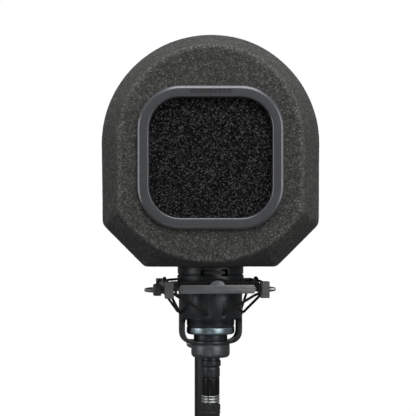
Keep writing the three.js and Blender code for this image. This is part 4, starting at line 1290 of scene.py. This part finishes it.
boot_prof = [(3.3, 2, 0.3), (4.6, 2, 0.4), (5.0, 3.2, 0.6)]
z = 4.0
while z < 15.5:
    f = (z - 4.0) / 11.5
    rr = 5.1 + 2.6 * f**1.6
    boot_prof += [(rr, z, 0.3), (rr + 0.05, z + 1.1, 0.3), (rr - 0.55, z + 1.35, 0.15), (rr - 0.5, z + 1.75, 0.15)]
    z += 1.92
boot_prof += [
    (8.2, 16.6, 0.6), (9.2, 19.4, 0.8), (9.4, 22.4, 0.3), (9.7, 22.9, 0.3), (9.7, 25.1, 0.3), (9.2, 25.6, 0.15), (9.2, 25.9, 0.1), (9.9, 26.3, 0.2), (9.9, 26.6, 0.1),
    (9.9, 31.2, 0.1), (9.8, 31.6, 0.2), (9.2, 32.1, 0.2), (5.6, 32.2, 0.2), (5.6, 20, 0.5), (3.3, 16, 0.5),
]
lathe("plug_boot", boot_prof, "rubber", "plug", ["xlr_boot"], 180, wobble=ribs, fillet=0.2, steps=3)

# ------------------------------------------------------------------ stage and light
bm = bmesh.new()
bmesh.ops.create_circle(bm, cap_ends=True, radius=0.62, segments=96)
me = bpy.data.meshes.new("floor")
bm.to_mesh(me)
bm.free()
floor = bpy.data.objects.new("floor", me)
floor.location = (0, -0.35, -0.062)
SCENE.collection.objects.link(floor)
fm = Mat("floor_pale", 0.9)
fm.color(fm.ramp(fm.noise(6, 3), [(0.3, (0.80, 0.80, 0.80)), (0.7, (0.84, 0.84, 0.84))]))
me.materials.append(fm.m)
floor.visible_diffuse = False
floor.visible_glossy = False

world = bpy.data.worlds.new("studio")
SCENE.world = world
world.use_nodes = True
nt = world.node_tree
nt.nodes.clear()
out = nt.nodes.new("ShaderNodeOutputWorld")
mixn = nt.nodes.new("ShaderNodeMixShader")
lp = nt.nodes.new("ShaderNodeLightPath")
bg_cam = nt.nodes.new("ShaderNodeBackground")
bg_cam.inputs["Color"].default_value = (1, 1, 1, 1)
bg_cam.inputs["Strength"].default_value = 1.0
bg = nt.nodes.new("ShaderNodeBackground")
tc = nt.nodes.new("ShaderNodeTexCoord")
sep = nt.nodes.new("ShaderNodeSeparateXYZ")
rampn = nt.nodes.new("ShaderNodeValToRGB")
mr = nt.nodes.new("ShaderNodeMapRange")
mr.inputs["From Min"].default_value = -1
mr.inputs["From Max"].default_value = 1
nt.links.new(tc.outputs["Generated"], sep.inputs[0])
nt.links.new(sep.outputs["Z"], mr.inputs["Value"])
nt.links.new(mr.outputs["Result"], rampn.inputs["Fac"])
els = rampn.color_ramp.elements
els[0].position, els[0].color = 0.20, (0.10, 0.10, 0.102, 1)
els[1].position, els[1].color = 1.0, (0.60, 0.61, 0.63, 1)
e = els.new(0.55)
e.color = (0.15, 0.152, 0.158, 1)
nt.links.new(rampn.outputs["Color"], bg.inputs["Color"])
bg.inputs["Strength"].default_value = 1.0
nt.links.new(lp.outputs["Is Camera Ray"], mixn.inputs["Fac"])
nt.links.new(bg.outputs[0], mixn.inputs[1])
nt.links.new(bg_cam.outputs[0], mixn.inputs[2])
nt.links.new(mixn.outputs[0], out.inputs[0])


def area(name, loc, target, size, power, size_y=None, color=(1, 1, 1)):
    l = bpy.data.lights.new(name, "AREA")
    l.energy = power
    l.color = color
    l.shape = "RECTANGLE"
    l.size = size
    l.size_y = size_y or size
    o = bpy.data.objects.new(name, l)
    o.location = loc
    d = Vector(target) - Vector(loc)
    o.rotation_euler = d.to_track_quat("-Z", "Y").to_euler()
    SCENE.collection.objects.link(o)
    return o


T = (MX / 1000, MY / 1000, 0.24)


def round_about(name, azimuth, height, dist, w, h, radiance):
    """A soft box at an angle to the right of the camera's side."""
    a = math.radians(azimuth)
    area(name, (T[0] + dist * math.sin(a), T[1] - dist * math.cos(a), height), T, w, radiance * math.pi * w * h, h)


round_about("softbox_left", -62, 0.32, 1.15, 0.62, 0.70, 1.9)
round_about("softbox_right", 39, 0.36, 1.15, 0.72, 0.74, 2.5)
round_about("fill_low", -6, -0.35, 1.5, 0.5, 0.4, 1.0)
area("top_front", (T[0] + 0.12, T[1] - 1.05, 1.40), T, 1.0, 1.0 * math.pi * 3.4)
area("top_soft", (T[0] + 0.02, T[1] - 0.05, 1.35), T, 0.8, 0.64 * math.pi * 2.0)

SCENE.view_settings.view_transform = "Standard"
SCENE.view_settings.look = "None"
SCENE.view_settings.exposure = 0.0
SCENE.view_settings.gamma = 1.0
